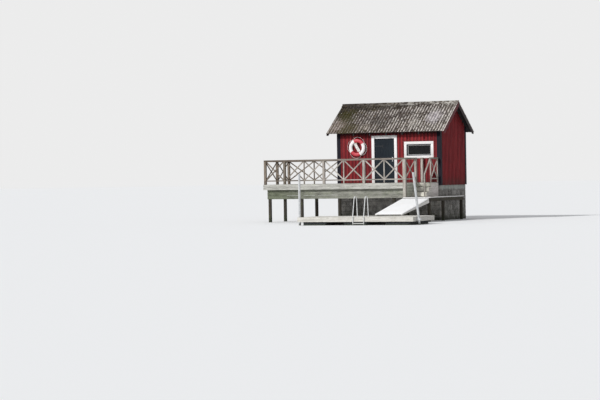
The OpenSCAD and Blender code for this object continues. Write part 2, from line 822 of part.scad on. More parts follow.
// Deck, notched at its front corner around the newel
module newel_block(z0, z1) {
    half = newel_w / 2;
    block([newel_x - half, newel_x + half], [newel_y - half, newel_y + half], [z0, z1]);
}
module deck_boards() {
    color("lightgray") difference() {
        union() {
            block([deck_x0, deck_x1], [-deck_d, -trim_t], [joist_top, deck_z]);
            block([deck_x0, -hut_l - trim_t], [-trim_t, deck_back], [joist_top, deck_z]);
            block([deck_x1, stair_x1], [-strip_d, -trim_t], [joist_top, deck_z]);
        }
        newel_block(joist_top - over, deck_z + over);
    }
}
module deck_joists() {
    step = (deck_x1 - deck_x0 - joist_t) / (joist_n - 1);
    color("tan") difference() {
        for (i = [0:joist_n - 1]) {
            x = deck_x0 + i * step;
            block([x, x + joist_t], [-deck_d, x + joist_t < -hut_l - trim_t ? deck_back : -trim_t],
                  [beam_top, joist_top]);
        }
        newel_block(beam_top - over, joist_top + over);
    }
}
module deck_beams() {
    color("tan") for (y = [skirt_y, back_row_y])
        block([deck_x0 + skirt_in, deck_x1], [y, y + beam_t], [beam_top - beam_h, beam_top]);
}
module deck_posts() {
    xs = concat([deck_x0 + skirt_in], -post_xs);
    color("gray") for (y = [skirt_y, back_row_y]) for (x = xs)
        block([x, x + post_w], [y, y + post_w], [0, beam_top - beam_h]);
}
module deck_fascia() {
    right_end = [newel_y + newel_w / 2, foot_y - fascia_t - board_gap];
    color("gainsboro") for (k = [0, 1]) {
        top = deck_z - k * (fascia_h + board_gap);
        block([deck_x0 - fascia_t, deck_x1 - newel_w], [-deck_d - fascia_t, -deck_d], [top - fascia_h, top]);
        block([deck_x0 - fascia_t, deck_x0], [-deck_d, deck_back], [top - fascia_h, top]);
        block([deck_x1, deck_x1 + fascia_t], right_end, [top - fascia_h, top]);
    }
}
module deck_skirt() {
    x0 = deck_x0 + skirt_in;
    color("darkgray") for (k = [0:skirt_n - 1]) {
        top = beam_top - k * (skirt_h + board_gap);
        block([x0 - fascia_t, top - skirt_h < landing_z ? landing_x0 : deck_x1],
              [skirt_y - fascia_t, skirt_y], [top - skirt_h, top]);
        block([x0 - fascia_t, x0], [skirt_y, back_row_y + post_w], [top - skirt_h, top]);
    }
}

// Railings: posts, two rails and a crossed pair of braces in each bay, along +x from the origin
module brace(w, h, depth) {
    a = atan2(h, w);
    long = norm([w, h]);
    intersection() {
        translate([0, depth, 0]) cube([w, brace_t, h]);
        translate([w / 2, depth, h / 2]) rotate([0, -a, 0])
            translate([-long, 0, -brace_w / 2]) cube([2 * long, brace_t, brace_w]);
    }
}
module bay(w, left_w, right_w) {
    clear = w - left_w / 2 - right_w / 2;
    low = rail_lift + rail_low_h;
    high = rail_h - rail_top_h;
    translate([left_w / 2, 0, 0]) {
        translate([0, -rail_t / 2, rail_lift]) cube([clear, rail_t, rail_low_h]);
        translate([0, 0, low]) {
            brace(clear, high - low, -brace_t);
            translate([clear, 0, 0]) mirror([1, 0, 0]) brace(clear, high - low, 0);
        }
    }
}
module rail_run(w, bays, widths, first = 0, last = 0, start = 0) {
    for (i = [0:bays - 1]) translate([i * w, 0, 0]) bay(w, widths[i], widths[i + 1]);
    for (i = [first:bays - last]) translate([i * w - widths[i] / 2, -widths[i] / 2, 0])
        cube([widths[i], widths[i], rail_h - rail_top_h]);
    low = first == 0 ? -widths[0] / 2 : start;
    translate([low, -rail_post_w / 2, rail_h - rail_top_h])
        cube([bays * w + widths[bays] / 2 - low, rail_post_w, rail_top_h]);
}
module railing_front() {
    w = (newel_x - rail_x0) / bays_front;
    widths = [for (i = [0:bays_front])
        i == bays_front ? newel_w : i < 2 || i % 2 == 1 ? rail_post_w : rail_thin_w];
    color("lightgray") {
        translate([rail_x0, rail_y0, deck_z]) rail_run(w, bays_front, widths, 0, 1);
        newel_block(landing_z, deck_z + rail_h - rail_top_h);
    }
}
module railing_left() {
    w = (deck_back - rail_post_w / 2 - rail_y0) / bays_side;
    color("lightgray") translate([rail_x0, rail_y0, deck_z]) rotate([0, 0, 90])
        rail_run(w, bays_side, [for (i = [0:bays_side]) rail_post_w], 1, 0, rail_post_w / 2);
}
module railing_back() {
    y = deck_back - rail_post_w / 2;
    w = (-hut_l - rail_post_w / 2 - rail_x0) / 2;
    color("lightgray") translate([rail_x0, y, deck_z])
        rail_run(w, 2, [rail_post_w, rail_thin_w, rail_post_w], 1, 0, rail_post_w / 2);
}
module railing_stair() {
    return_w = -strip_d + rail_post_w / 2 - newel_y;
    color("lightgray") {
        translate([newel_x, newel_y, deck_z]) rotate([0, 0, 90])
            rail_run(return_w, 1, [newel_w, rail_post_w], 1, 0, rail_y0 + rail_post_w / 2 - newel_y);
        block([newel_x - rail_post_w / 2, newel_x + rail_post_w / 2], [-trim_t - rail_post_w, -trim_t],
              [deck_z, deck_z + rail_h]);
        translate([end_rail_x, -strip_d + rail_thin_w / 2, deck_z]) rotate([0, 0, 90])
            rail_run(strip_d - rail_thin_w - trim_t, 1, [rail_thin_w, rail_thin_w]);
        block([end_rail_x - rail_thin_w / 2, end_rail_x + rail_thin_w / 2],
              [hand_y0, hand_y0 + rail_thin_w], [landing_z, hand_z0 + rail_top_h / 2]);
        along_x(end_rail_x - rail_thin_w / 2, end_rail_x + rail_thin_w / 2) polygon([
            [hand_y0, hand_z0], [-strip_d, deck_z + rail_h - rail_top_h],
            [-strip_d, deck_z + rail_h], [hand_y0, hand_z0 + rail_top_h]
        ]);
    }
}

// Stair and landing
module stair() {
    color("lightgray") for (k = [0:riser_n - 1]) {
        y1 = -strip_d - (k - 1) * tread_d;
        z = deck_z - k * rise;
        if (k > 0) block([deck_x1, stair_x1 + cheek_t], [y1 - tread_d, y1], [z - deck_t, z]);
        block([deck_x1, stair_x1], [y1 - tread_d - fascia_t, y1 - tread_d], [z - deck_t - riser_h, z - deck_t]);
    }
}
module stair_side(x) {
    steps = [for (k = [0:riser_n - 1]) for (e = [0, 1])
        [-strip_d - (k - 1 + e) * tread_d, deck_z - k * rise - deck_t]];
    along_x(x, x + cheek_t) polygon(concat(
        [[-trim_t, landing_z], [-trim_t, joist_top]], [for (i = [1:len(steps) - 1]) steps[i]],
        [[foot_y, landing_z]]
    ));
}
module stair_sides() {
    color("gray") {
        stair_side(stair_x1 - cheek_t);
        stair_side(deck_x1);
    }
}
module landing_boards() {
    color("lightgray") {
        block([landing_x0, landing_past], [landing_y0, plinth_in], [landing_z - deck_t, landing_z]);
        block([-plinth_in, landing_past], [plinth_in, landing_side], [landing_z - deck_t, landing_z]);
    }
}
module landing_frame() {
    top = landing_z - deck_t;
    low = top - landing_beam_h;
    color("dimgray") {
        block([landing_x0, landing_past], [landing_y0, landing_y0 + joist_t], [low, top]);
        block([landing_past - joist_t, landing_past], [landing_y0 + joist_t, landing_side], [low, top]);
        block([landing_x0, landing_x0 + joist_t], [landing_y0 + joist_t, 0], [low, top]);
        for (y = [landing_y0 + joist_t, -landing_post, landing_side - post_w])
            block([landing_past - joist_t - post_w, landing_past - joist_t], [y, y + post_w], [0, top]);
        block([landing_x0 + joist_t, landing_x0 + joist_t + post_w],
              [landing_y0 + joist_t, landing_y0 + joist_t + post_w], [0, top]);
    }
}

// Gangway, drawn along -y from its hinge pin and tipped down by its slope
module on_gangway() {
    translate([0, pin_y, pin_z]) rotate([gang_a, 0, 0]) children();
}
module gangway_deck() {
    color("white") on_gangway()
        block([gang_x0, gang_x1], [-gang_l, -gang_barrel_r - gang_deck_gap], [gang_top - deck_t, gang_top]);
}
module gangway_beams() {
    top = gang_top - deck_t;
    color("lightgray") on_gangway() difference() {
        union() {
            for (x = [gang_x0, gang_x1 - gang_beam_t]) along_x(x, x + gang_beam_t) polygon([
                [-gang_l, top], [-gang_l, top - gang_toe_h], [-gang_barrel_r, top - gang_beam_h],
                [-gang_barrel_r, top]
            ]);
            for (k = [1:gang_cross_n]) {
                y = -k * gang_l / (gang_cross_n + 1);
                block([gang_x0 + gang_beam_t, gang_x1 - gang_beam_t], [y - gang_beam_t, y],
                      [top - gang_beam_t, top]);
            }
            for (x = hinge_xs) {
                rod_x(x - barrel_l / 2, x + barrel_l / 2, gang_barrel_r);
                block([x - barrel_l / 2, x + barrel_l / 2], [-hinge_leaf_l, 0], [top - hinge_leaf_t, top]);
            }
        }
        for (x = hinge_xs) rod_x(x - barrel_l, x + barrel_l, gang_pin_r + pin_play);
    }
}
module gangway_lugs() {
    lug_in = barrel_l / 2 + lug_play;
    pin_half = lug_in + lug_t + pin_end;
    color("dimgray") for (x = hinge_xs) {
        for (x0 = [x - lug_in - lug_t, x + lug_in]) {
            translate([0, pin_y, pin_z]) rod_x(x0, x0 + lug_t, gang_barrel_r);
            block([x0, x0 + lug_t], [pin_y, landing_y0], [pin_z - gang_barrel_r, pin_z + gang_barrel_r]);
        }
        translate([0, pin_y, pin_z]) rod_x(x - pin_half, x + pin_half, gang_pin_r);
    }
}

// Jetty
module jetty_deck() {
    color("beige") block([jetty_x0, jetty_x1], [jetty_y0, jetty_y1], [jetty_z - deck_t, jetty_z]);
}
module jetty_frame() {
    top = jetty_z - deck_t;
    step = (jetty_l - joist_t) / jetty_bays;
    color("beige") {
        for (y = [jetty_y0, jetty_y1 - joist_t])
            block([jetty_x0, jetty_x1], [y, y + joist_t], [frame_z0, top]);
        for (i = [0:jetty_bays]) {
            x = jetty_x0 + i * step;
            block([x, x + joist_t], [jetty_y0 + joist_t, jetty_y1 - joist_t], [frame_z0, top]);
        }
    }
}
module jetty_floats() {
    step = (jetty_l - 2 * float_end - float_l) / (float_n - 1);
    color("darkslategray") for (i = [0:float_n - 1]) {
        x = jetty_x0 + float_end + i * step;
        block([x, x + float_l], [jetty_y0 + float_in, jetty_y1 - float_in], [0, frame_z0]);
    }
}
module guide_loop(reach, half) {
    for (y = [-half - iron_t, half]) block([0, reach], [y, y + iron_t], [0, iron_h]);
    block([reach - iron_t, reach], [-half, half], [0, iron_h]);
}
module guide_irons() {
    half = pole_r + pole_gap;
    color("gray") {
        translate([jetty_x1, pole_y, iron_z]) guide_loop(iron_reach, half);
        translate([jetty_x0, pole_y, iron_z]) mirror([1, 0, 0]) guide_loop(2 * half + iron_t, half);
    }
}
module guide_poles() {
    color("silver") {
        translate([jetty_x0 - pole_r - pole_gap, pole_y, 0]) cylinder(h = pole_h, r = pole_r);
        intersection() {
            translate([pole_foot, pole_y, 0]) rotate([0, -pole_lean, 0])
                translate([0, 0, -pole_h]) cylinder(h = 2 * pole_h, r = pole_r);
            block([-hut_l, hut_l], [pole_y - 2 * pole_r, pole_y + 2 * pole_r], [0, pole_h]);
        }
    }
}
module ladder() {
    top = jetty_z + ladder_h - ladder_r;
    front_y = jetty_y0 - iron_t - ladder_r;
    plate_z = frame_z0 + ladder_knee;
    path = [
        [jetty_y0 + ladder_foot, jetty_z + iron_t / 2], [jetty_y0 + ladder_back, top],
        [jetty_y0 + ladder_front, top], [front_y, jetty_z + ladder_knee], [front_y, 0]
    ];
    color("white") {
        for (x = [-ladder_x - ladder_w / 2, -ladder_x + ladder_w / 2]) {
            translate([x, 0, 0]) rotate([90, 0, 90]) bent_tube(path, ladder_bend, ladder_r);
            block([x - side_plate_w / 2, x + side_plate_w / 2],
                  [jetty_y0 - iron_t - side_plate_out, jetty_y0], [plate_z, plate_z + side_plate_h]);
            block([x - foot_plate_w / 2, x + foot_plate_w / 2],
                  [jetty_y0 + ladder_foot - foot_plate_d / 2, jetty_y0 + ladder_foot + foot_plate_d / 2],
                  [jetty_z, jetty_z + iron_t]);
        }
        translate([-ladder_x, front_y, rung_z]) rod_x(-ladder_w / 2, ladder_w / 2, ladder_r);
    }
}

placed() {
    plinth();
    floor();
    front_wall_left();
    front_wall_over_door();
    front_wall_right();
    back_wall();
    left_gable();
    right_gable();
    corner_boards();
    rafters_front();
    rafters_back();
    ridge_board();
    tie_beams();
    roof_boards_front();
    roof_boards_back();
    roof_sheet_front();
    roof_sheet_back();
    ridge_cap();
    barge_boards();
    door_frame();
    door_casing();
    door_hinges();
    door_leaf();
    door_lever();
    window_casing();
    window_sash();
    window_glass();
    lifebuoy();
    lifebuoy_lines();
    buoy_peg();
    deck_boards();
    deck_joists();
    deck_beams();
    deck_posts();
    deck_fascia();
    deck_skirt();
    railing_front();
    railing_left();
    railing_back();
    railing_stair();
    stair();
    stair_sides();
    landing_boards();
    landing_frame();
    gangway_deck();
    gangway_beams();
    gangway_lugs();
    jetty_deck();
    jetty_frame();
    jetty_floats();
    guide_irons();
    guide_poles();
    ladder();
}
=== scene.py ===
import json
import math
import random

import bmesh
import bpy
from mathutils import Matrix, Vector


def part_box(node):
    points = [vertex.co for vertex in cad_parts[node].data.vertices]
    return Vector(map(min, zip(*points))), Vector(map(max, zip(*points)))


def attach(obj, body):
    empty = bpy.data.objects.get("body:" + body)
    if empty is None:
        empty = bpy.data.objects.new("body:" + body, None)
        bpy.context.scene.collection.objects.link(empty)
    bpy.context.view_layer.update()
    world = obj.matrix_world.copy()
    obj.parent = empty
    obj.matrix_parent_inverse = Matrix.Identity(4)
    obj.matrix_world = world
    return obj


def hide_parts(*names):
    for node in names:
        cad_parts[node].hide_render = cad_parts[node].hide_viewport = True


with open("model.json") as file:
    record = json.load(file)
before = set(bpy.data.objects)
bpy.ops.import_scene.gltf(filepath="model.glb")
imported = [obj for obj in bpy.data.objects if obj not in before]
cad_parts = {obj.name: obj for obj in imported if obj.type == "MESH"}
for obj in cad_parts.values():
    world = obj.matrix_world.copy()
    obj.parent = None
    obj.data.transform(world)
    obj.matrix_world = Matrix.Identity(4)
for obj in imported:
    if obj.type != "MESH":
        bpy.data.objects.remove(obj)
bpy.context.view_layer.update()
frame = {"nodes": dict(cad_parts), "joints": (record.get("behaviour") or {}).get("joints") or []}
print("frame loaded")


def edge(node, side, axis):
    # one side of a solid's box, low for 0 and high for 1
    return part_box(node)[side][axis]


# where the hut stands, taken from the solids
site = {
    "leftX": edge("left_gable", 0, 0),
    "rightX": edge("right_gable", 1, 0),
    "wallY": edge("front_wall_left", 0, 1),
    "backY": edge("back_wall", 1, 1),
    "plinthTop": edge("plinth", 1, 2),
    "deckTop": edge("deck_boards", 1, 2),
    "pitch": math.radians(35),
    "eaveOut": 0.31,
    "wallT": 0.12,
}
midY = (site["wallY"] + site["backY"]) / 2
eaveZ = edge("roof_sheet_front", 0, 2)
roof = {"leftX": edge("roof_sheet_front", 0, 0), "rightX": edge("roof_sheet_front", 1, 0),
        "pitch": 0.13, "wave": 0.03, "sheet": 0.006}
ringLow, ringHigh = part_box("lifebuoy")
buoy = {"centre": (ringLow + ringHigh) / 2, "tilt": -15}


def roofHeight(y):
    near = min(y, 2 * midY - y)
    return eaveZ + (near - site["wallY"] + site["eaveOut"]) * math.tan(site["pitch"])


def placeCamera():
    # as the photograph was taken, in metres and degrees, with focal and width in its pixels
    shot = {"distance": 82.40, "height": 1.92, "turn": 22.861, "yaw": 2.559, "pitch": -0.687, "roll": 0.939,
            "focal": 1945.5, "width": 600, "aimX": -2.45, "sensor": 36, "near": 0.5, "far": 1500}
    turn, yaw, pitch, roll = (math.radians(shot[k]) for k in ("turn", "yaw", "pitch", "roll"))
    spot = Vector((site["rightX"] + shot["aimX"] + shot["distance"] * math.sin(turn),
                   site["wallY"] - shot["distance"] * math.cos(turn), shot["height"]))
    look = Matrix.Rotation(yaw, 3, "Z") @ Vector((-math.sin(turn), math.cos(turn), 0))
    ahead = Vector((look.x * math.cos(pitch), look.y * math.cos(pitch), math.sin(pitch)))
    right = ahead.cross(Vector((0, 0, 1))).normalized()
    up = right.cross(ahead)
    across = right * math.cos(roll) - up * math.sin(roll)
    upward = right * math.sin(roll) + up * math.cos(roll)
    camera = bpy.data.objects.new("camera", bpy.data.cameras.new("camera"))
    bpy.context.scene.collection.objects.link(camera)
    turned = Matrix((across, upward, -ahead)).transposed().to_4x4()
    camera.matrix_world = Matrix.Translation(spot) @ turned
    camera.data.sensor_width = shot["sensor"]
    camera.data.lens = shot["focal"] * shot["sensor"] / shot["width"]
    camera.data.clip_start = shot["near"]
    camera.data.clip_end = shot["far"]
    bpy.context.scene.camera = camera


def addSun(name, strength, softness, heading, height):
    lamp = bpy.data.lights.new(name, "SUN")
    lamp.energy = strength
    lamp.angle = math.radians(softness)
    holder = bpy.data.objects.new(name, lamp)
    bpy.context.scene.collection.objects.link(holder)
    turn, lift = math.radians(heading), math.radians(height)
    towards = Vector((math.sin(turn) * math.cos(lift), -math.cos(turn) * math.cos(lift), math.sin(lift)))
    holder.rotation_euler = towards.to_track_quat("Z", "Y").to_euler()


def tint(red, green, blue):
    # a colour as it shows on screen, 0 to 255, made straight for the shader
    def straight(value):
        value /= 255
        return value / 12.92 if value <= 0.04045 else ((value + 0.055) / 1.055) ** 2.4
    return straight(red), straight(green), straight(blue), 1


class Wire:
    # one output of a node; sums on wires become Math nodes
    def __init__(self, nodes, socket):
        self.nodes = nodes
        self.socket = socket

    def out(self, name):
        return Wire(self.nodes, self.socket.node.outputs[name])

    def maths(self, operation, other=None, flip=False):
        first, second = (other, self) if flip else (self, other)
        values = {0: first} if second is None else {0: first, 1: second}
        return self.nodes.add("ShaderNodeMath", {"operation": operation}, values)

    def __add__(self, other):
        return self.maths("ADD", other)

    def __sub__(self, other):
        return self.maths("SUBTRACT", other)

    def __rsub__(self, other):
        return self.maths("SUBTRACT", other, flip=True)

    def __mul__(self, other):
        return self.maths("MULTIPLY", other)

    def __truediv__(self, other):
        return self.maths("DIVIDE", other)

    __radd__ = __add__
    __rmul__ = __mul__

    def between(self, low, high):
        # 0 below low, 1 above high, and a soft step from one to the other
        values = {"Value": self, "From Min": low, "From Max": high, "To Min": 0.0, "To Max": 1.0}
        return self.nodes.add("ShaderNodeMapRange", {"interpolation_type": "SMOOTHSTEP"}, values)


class Nodes:
    def __init__(self, tree):
        self.tree = tree

    def add(self, kind, settings=None, values=None, out=0):
        node = self.tree.nodes.new(kind)
        for key, value in (settings or {}).items():
            setattr(node, key, value)
        for key, value in (values or {}).items():
            if isinstance(value, Wire):
                self.tree.links.new(value.socket, node.inputs[key])
            else:
                node.inputs[key].default_value = value
        return Wire(self, node.outputs[out]) if node.outputs else None


class Finish(Nodes):
    def __init__(self, name, constants=None):
        self.material = bpy.data.materials.new(name)
        self.material.use_nodes = True
        super().__init__(self.material.node_tree)
        self.shader = self.tree.nodes["Principled BSDF"]
        for key, value in (constants or {}).items():
            self.shader.inputs[key].default_value = value
        self.place = self.add("ShaderNodeTexCoord", out="Object")

    def split(self, vector):
        x = self.add("ShaderNodeSeparateXYZ", values={0: vector})
        return x, x.out("Y"), x.out("Z")

    def join(self, x, y, z):
        return self.add("ShaderNodeCombineXYZ", values={0: x, 1: y, 2: z})

    def noise(self, vector, scale, detail=3.0, roughness=0.55, distortion=0.0):
        return self.add("ShaderNodeTexNoise", values={
            "Vector": vector, "Scale": scale, "Detail": detail, "Roughness": roughness,
            "Distortion": distortion})

    def speckle(self, scale, low, high):
        return self.noise(self.place, scale, 4.0, 0.65).between(low, high)

    def mix(self, factor, low, high, how="MIX"):
        return self.add("ShaderNodeMix", {"data_type": "RGBA", "blend_type": how},
                        {0: factor, 6: low, 7: high}, out=2)

    def slime(self, colour, look):
        # growth up to where the water reaches, with a ragged upper edge
        z = self.split(self.place)[2]
        tide = z + self.noise(self.place, look["scale"], look["detail"]) * look["ragged"]
        grown = 1.0 - tide.between(look["low"], look["high"])
        return self.mix(grown * look["amount"], colour, look["tone"])

    def bump(self, height, distance, strength=1.0):
        values = {"Height": height, "Distance": distance, "Strength": strength}
        return self.add("ShaderNodeBump", values=values)

    def drive(self, **wires):
        for key, wire in wires.items():
            self.tree.links.new(wire.socket, self.shader.inputs[key.replace("_", " ")])
        return self.material


def lightStudio():
    studio = {"sky": 0.40, "skyTint": (0.93, 0.96, 1.0, 1), "backdrop": 0.84, "floor": 0.90, "floorSize": 700}
    lamps = {"keyLight": (2.7, 5, -32, 32), "backLight": (0.5, 40, 205, 35)}  # as addSun takes them
    world = bpy.data.worlds.new("studio")
    bpy.context.scene.world = world
    world.use_nodes = True
    world.node_tree.nodes.clear()
    sky = Nodes(world.node_tree)
    path = sky.add("ShaderNodeLightPath", out="Is Camera Ray")
    seen = path.maths("MAXIMUM", path.out("Is Transmission Ray")).maths("MAXIMUM", path.out("Is Glossy Ray"))
    dim = sky.add("ShaderNodeBackground", values={"Color": studio["skyTint"], "Strength": studio["sky"]})
    pale = sky.add("ShaderNodeBackground", values={"Color": (1, 1, 1, 1), "Strength": studio["backdrop"]})
    blend = sky.add("ShaderNodeMixShader", values={0: seen, 1: dim, 2: pale})
    sky.add("ShaderNodeOutputWorld", values={0: blend})
    for name, lamp in lamps.items():
        addSun(name, *lamp)

    bm = bmesh.new()
    bmesh.ops.create_grid(bm, x_segments=1, y_segments=1, size=studio["floorSize"] / 2)
    mesh = bpy.data.meshes.new("floor")
    bm.to_mesh(mesh)
    bm.free()
    ground = bpy.data.objects.new("floorStage", mesh)
    bpy.context.scene.collection.objects.link(ground)
    plain = {"Base Color": (studio["floor"],) * 3 + (1,), "Roughness": 1, "Specular IOR Level": 0}
    mesh.materials.append(Finish("plainFloor", plain).material)


bpy.context.scene.view_settings.view_transform = "Standard"
placeCamera()
lightStudio()
print("camera and light placed")


# the pattern of the wood in repeats a metre, along the grain and across it
woodGrain = {"fibre": (5.0, 160.0), "figure": (1.1, 22.0), "knots": (1.7, 8.0), "cracks": (2.2, 240.0),
             "bare": (9.0, 130.0)}
# what a board finish takes where its own look says nothing
usualLook = {"specular": 0.35, "rough": 0.8, "spread": 0.3, "cracks": 0.6, "crack": (0.02, 0.018, 0.015, 1),
             "brush": 0.25, "wear": 0.7, "wearFrom": 0.60, "wearTo": 0.66, "relief": 0.0016, "bump": 0.7,
             "patches": ()}
# where sun, shade and splashes change the boards, in metres; a feather softens a painted edge
weather = {"feather": 0.002, "topRail": 0.004, "railFade": 0.75, "shadeFrom": -2.4, "shadeTo": 1.6,
           "eaveFrom": 2.08, "eaveTo": 2.22, "vergeDepth": 0.1, "splashFrom": -0.22, "splashTo": 0.16,
           "splashRagged": 0.5, "tideRagged": 0.16, "tideFade": 0.4, "tide": 0.85}


def paintByPlace(f, colour, look, grain):
    # painted shade by place, on the eaves, the left end, the top of the walls, the gable and the deck's end,
    # with a darker handrail top, the verge board's wall colour, splashes at the walls' foot and wet near the
    # water
    x, y, z = f.split(f.place)
    feather = weather["feather"]
    if "outer" in look:
        # painted shade: what stands out past the walls is made nearly black, as in the shade under the eaves
        length, depth = site["rightX"] - site["leftX"], site["backY"] - site["wallY"]
        fromMiddle = (x - (site["leftX"] + length / 2)).maths("ABSOLUTE")
        alongOut = fromMiddle.between(length / 2 - feather, length / 2)
        deepOut = (y - midY).maths("ABSOLUTE").between(depth / 2 - feather, depth / 2)
        eaveShadeColour = f.mix(grain, look["outer"], look["outerShadeGrain"])
        colour = f.mix(alongOut.maths("MAXIMUM", deepOut), colour, eaveShadeColour)
    if "topRail" in look:
        crown = z.between(look["topRail"] - weather["topRail"], look["topRail"] + weather["topRail"])
        colour = f.mix(crown * weather["railFade"], colour, look["topTone"], "MULTIPLY")
    # painted shade: boards darker towards the left end, where the shade falls
    if "leftShade" in look:
        leftward = 1.0 - x.between(site["leftX"] + weather["shadeFrom"], site["leftX"] + weather["shadeTo"])
        colour = f.mix(leftward * look["leftShade"], colour, look["leftShadeTone"], "MULTIPLY")
    # painted shadow of the eaves: a darker band at the top of the walls, left off the right gable
    if "eaveShadeTone" in look:
        eaveShadow = z.between(site["plinthTop"] + weather["eaveFrom"], site["plinthTop"] + weather["eaveTo"])
        eaveShadow = eaveShadow * (1.0 - x.between(site["rightX"] - 2 * feather, site["rightX"]))
        colour = f.mix(eaveShadow, colour, look["eaveShadeTone"], "MULTIPLY")
    # painted shade: the right gable darker than the front, as turned from the light
    if "gableShadeTone" in look:
        onGable = x.between(site["rightX"] - feather, site["rightX"])
        colour = f.mix(onGable, colour, look["gableShadeTone"], "MULTIPLY")
    if "facing" in look:
        # the verge board over the landing took the wall colour
        nearer = 1.0 - y.between(midY - feather, midY + feather)
        nearer = nearer * x.between(site["rightX"], site["rightX"] + weather["vergeDepth"])
        colour = f.mix(nearer, colour, f.mix(grain, look["facing"], look["facingWorn"]))
    # painted shade: the boards at the deck's end darker, as turned from the light
    if "endShadeTone" in look:
        turned = x.between(look["endFrom"], look["endFrom"] + 2 * feather)
        colour = f.mix(turned, colour, look["endShadeTone"], "MULTIPLY")
    if "splash" in look:
        foot = z - f.noise(f.join(x * 9.0, y * 9.0, z * 0.6), 1.0, 3.0) * weather["splashRagged"]
        splash = 1.0 - foot.between(site["plinthTop"] + weather["splashFrom"],
                                    site["plinthTop"] + weather["splashTo"])
        colour = f.mix(splash * look["splash"], colour, look["splashTone"])
    if "wetTop" in look:
        tide = z + f.noise(f.place, 3.0, 3.0) * weather["tideRagged"]
        wet = 1.0 - tide.between(look["wetTop"] * weather["tideFade"], look["wetTop"])
        colour = f.mix(wet * weather["tide"], colour, look["wet"])
    return colour


def boardFinish(name, own, upright=False):
    # wood with its grain along each board; paint lies over it where the look has paint
    look = dict(usualLook, **own)
    f = Finish(name, {"Specular IOR Level": look["specular"]})
    if upright:
        x, y, along = f.split(f.place)
        across = x + y
        board = ((across - look["start"]) / look["pitch"]).maths("FLOOR")
        tone = f.add("ShaderNodeTexWhiteNoise", {"noise_dimensions": "1D"}, {"W": board})
    else:
        along = f.add("ShaderNodeUVMap", {"uv_map": "grain"})
        along, across = f.split(along)[:2]
        tone = f.add("ShaderNodeAttribute", {"attribute_name": "tone"}, out="Fac")
    seed = tone * 37.0

    def grained(kind, seed=seed):
        perMetre, perWidth = woodGrain[kind]
        return f.join(along * perMetre, across * perWidth, seed)

    fibre = f.noise(grained("fibre"), 1.0, 4.0)
    figure = f.noise(grained("figure"), 1.0, 3.0, 0.6, 1.2)
    grain = (fibre * 0.55 + figure * 0.45).between(0.36, 0.64)
    wood = f.mix(grain, look["dark"], look["pale"])
    knots = f.add("ShaderNodeTexVoronoi", values={"Vector": grained("knots"), "Scale": 1.0})
    wood = f.mix(1.0 - knots.between(0.05, 0.12), wood, look["dark"])
    cracks = f.noise(grained("cracks", seed + 5.0), 1.0, 2.0).between(0.66, 0.72)
    wood = f.mix(cracks * look["cracks"], wood, look["crack"])
    colour = wood
    height = fibre * 0.5 + figure * 0.35 - cracks * 0.8
    if "paint" in look:
        fade = f.noise(f.place, 1.3, 3.0)
        paint = f.mix(fade.between(0.35, 0.7), look["paint"], look["faded"])
        paint = f.mix((1.0 - grain) * look["brush"], paint, look["deep"])
        bare = f.noise(grained("bare"), 1.0, 4.0) * 0.6 + f.noise(f.place, 5.0, 2.0) * 0.4
        cover = 1.0 - bare.between(look["wearFrom"], look["wearTo"]) * look["wear"]
        colour = f.mix(cover, wood, paint)
        height = height * 0.45 + cover * 0.35
    shade = tone * look["spread"] + (1.0 - look["spread"])
    colour = f.mix(1.0, colour, shade, "MULTIPLY")
    for patch in look["patches"]:
        mask = f.noise(f.place, patch["scale"], 4.0, 0.6).between(patch["low"], patch["high"])
        mask = mask * patch["amount"]
        if "fine" in patch:
            mask = mask * f.noise(f.place, patch["fine"], 3.0).between(0.42, 0.6)
        colour = f.mix(mask, colour, patch["colour"])
    colour = paintByPlace(f, colour, look, grain)
    rough = look["rough"] + (fibre - 0.5) * 0.25
    return f.drive(Base_Color=colour, Roughness=rough, Normal=f.bump(height, look["relief"], look["bump"]))


lichen = {"scale": 3.0, "fine": 38.0, "low": 0.5, "high": 0.66, "amount": 0.5, "colour": tint(176, 180, 160)}
algae = {"scale": 2.2, "fine": 20.0, "low": 0.5, "high": 0.68, "amount": 0.55, "colour": tint(92, 102, 66)}

# the eave and gable tones are painted shade; the boards behind the strips are a darker red than the strips,
# partly painted shade between the strips and partly a real difference in the paint
redBoards = {
    "dark": tint(86, 64, 56), "pale": tint(134, 104, 90), "pitch": 0.155, "start": site["leftX"],
    "paint": tint(112, 26, 33), "faded": tint(132, 38, 42), "deep": tint(82, 15, 23),
    "rough": 0.84, "wear": 0.35, "wearFrom": 0.63, "wearTo": 0.70, "spread": 0.26, "brush": 0.5,
    "splash": 0.55, "splashTone": tint(78, 44, 40),
    "eaveShadeTone": tint(132, 110, 112), "gableShadeTone": tint(240, 224, 232),
    "patches": [{"scale": 1.6, "low": 0.52, "high": 0.75, "amount": 0.35, "colour": tint(82, 18, 26)}],
}
redStrips = dict(redBoards, paint=tint(150, 37, 42), faded=tint(172, 53, 55), deep=tint(108, 20, 28),
                 patches=[
                     {"scale": 1.4, "low": 0.5, "high": 0.75, "amount": 0.4, "colour": tint(112, 26, 33)},
                     {"scale": 9.0, "low": 0.6, "high": 0.74, "amount": 0.3, "colour": tint(186, 84, 74)}])
greyWood = {
    "dark": tint(126, 122, 115), "pale": tint(196, 192, 184), "rough": 0.88, "spread": 0.3, "cracks": 0.6,
    "relief": 0.0022, "patches": [lichen, dict(algae, amount=0.25)],
}
# the rails' left tone is painted shade towards the left end
railWood = dict(greyWood, dark=tint(132, 124, 117), pale=tint(214, 207, 199), leftShade=1.0,
                leftShadeTone=tint(182, 172, 162), topRail=site["deckTop"] + 0.96, topTone=tint(190, 182, 176))
# the end tone is painted shade on the deck's end boards
paleWood = dict(greyWood, dark=tint(150, 149, 142), pale=tint(226, 224, 216), spread=0.2, cracks=0.5,
                endFrom=edge("railing_front", 1, 0) - 0.02, endShadeTone=tint(240, 243, 238))
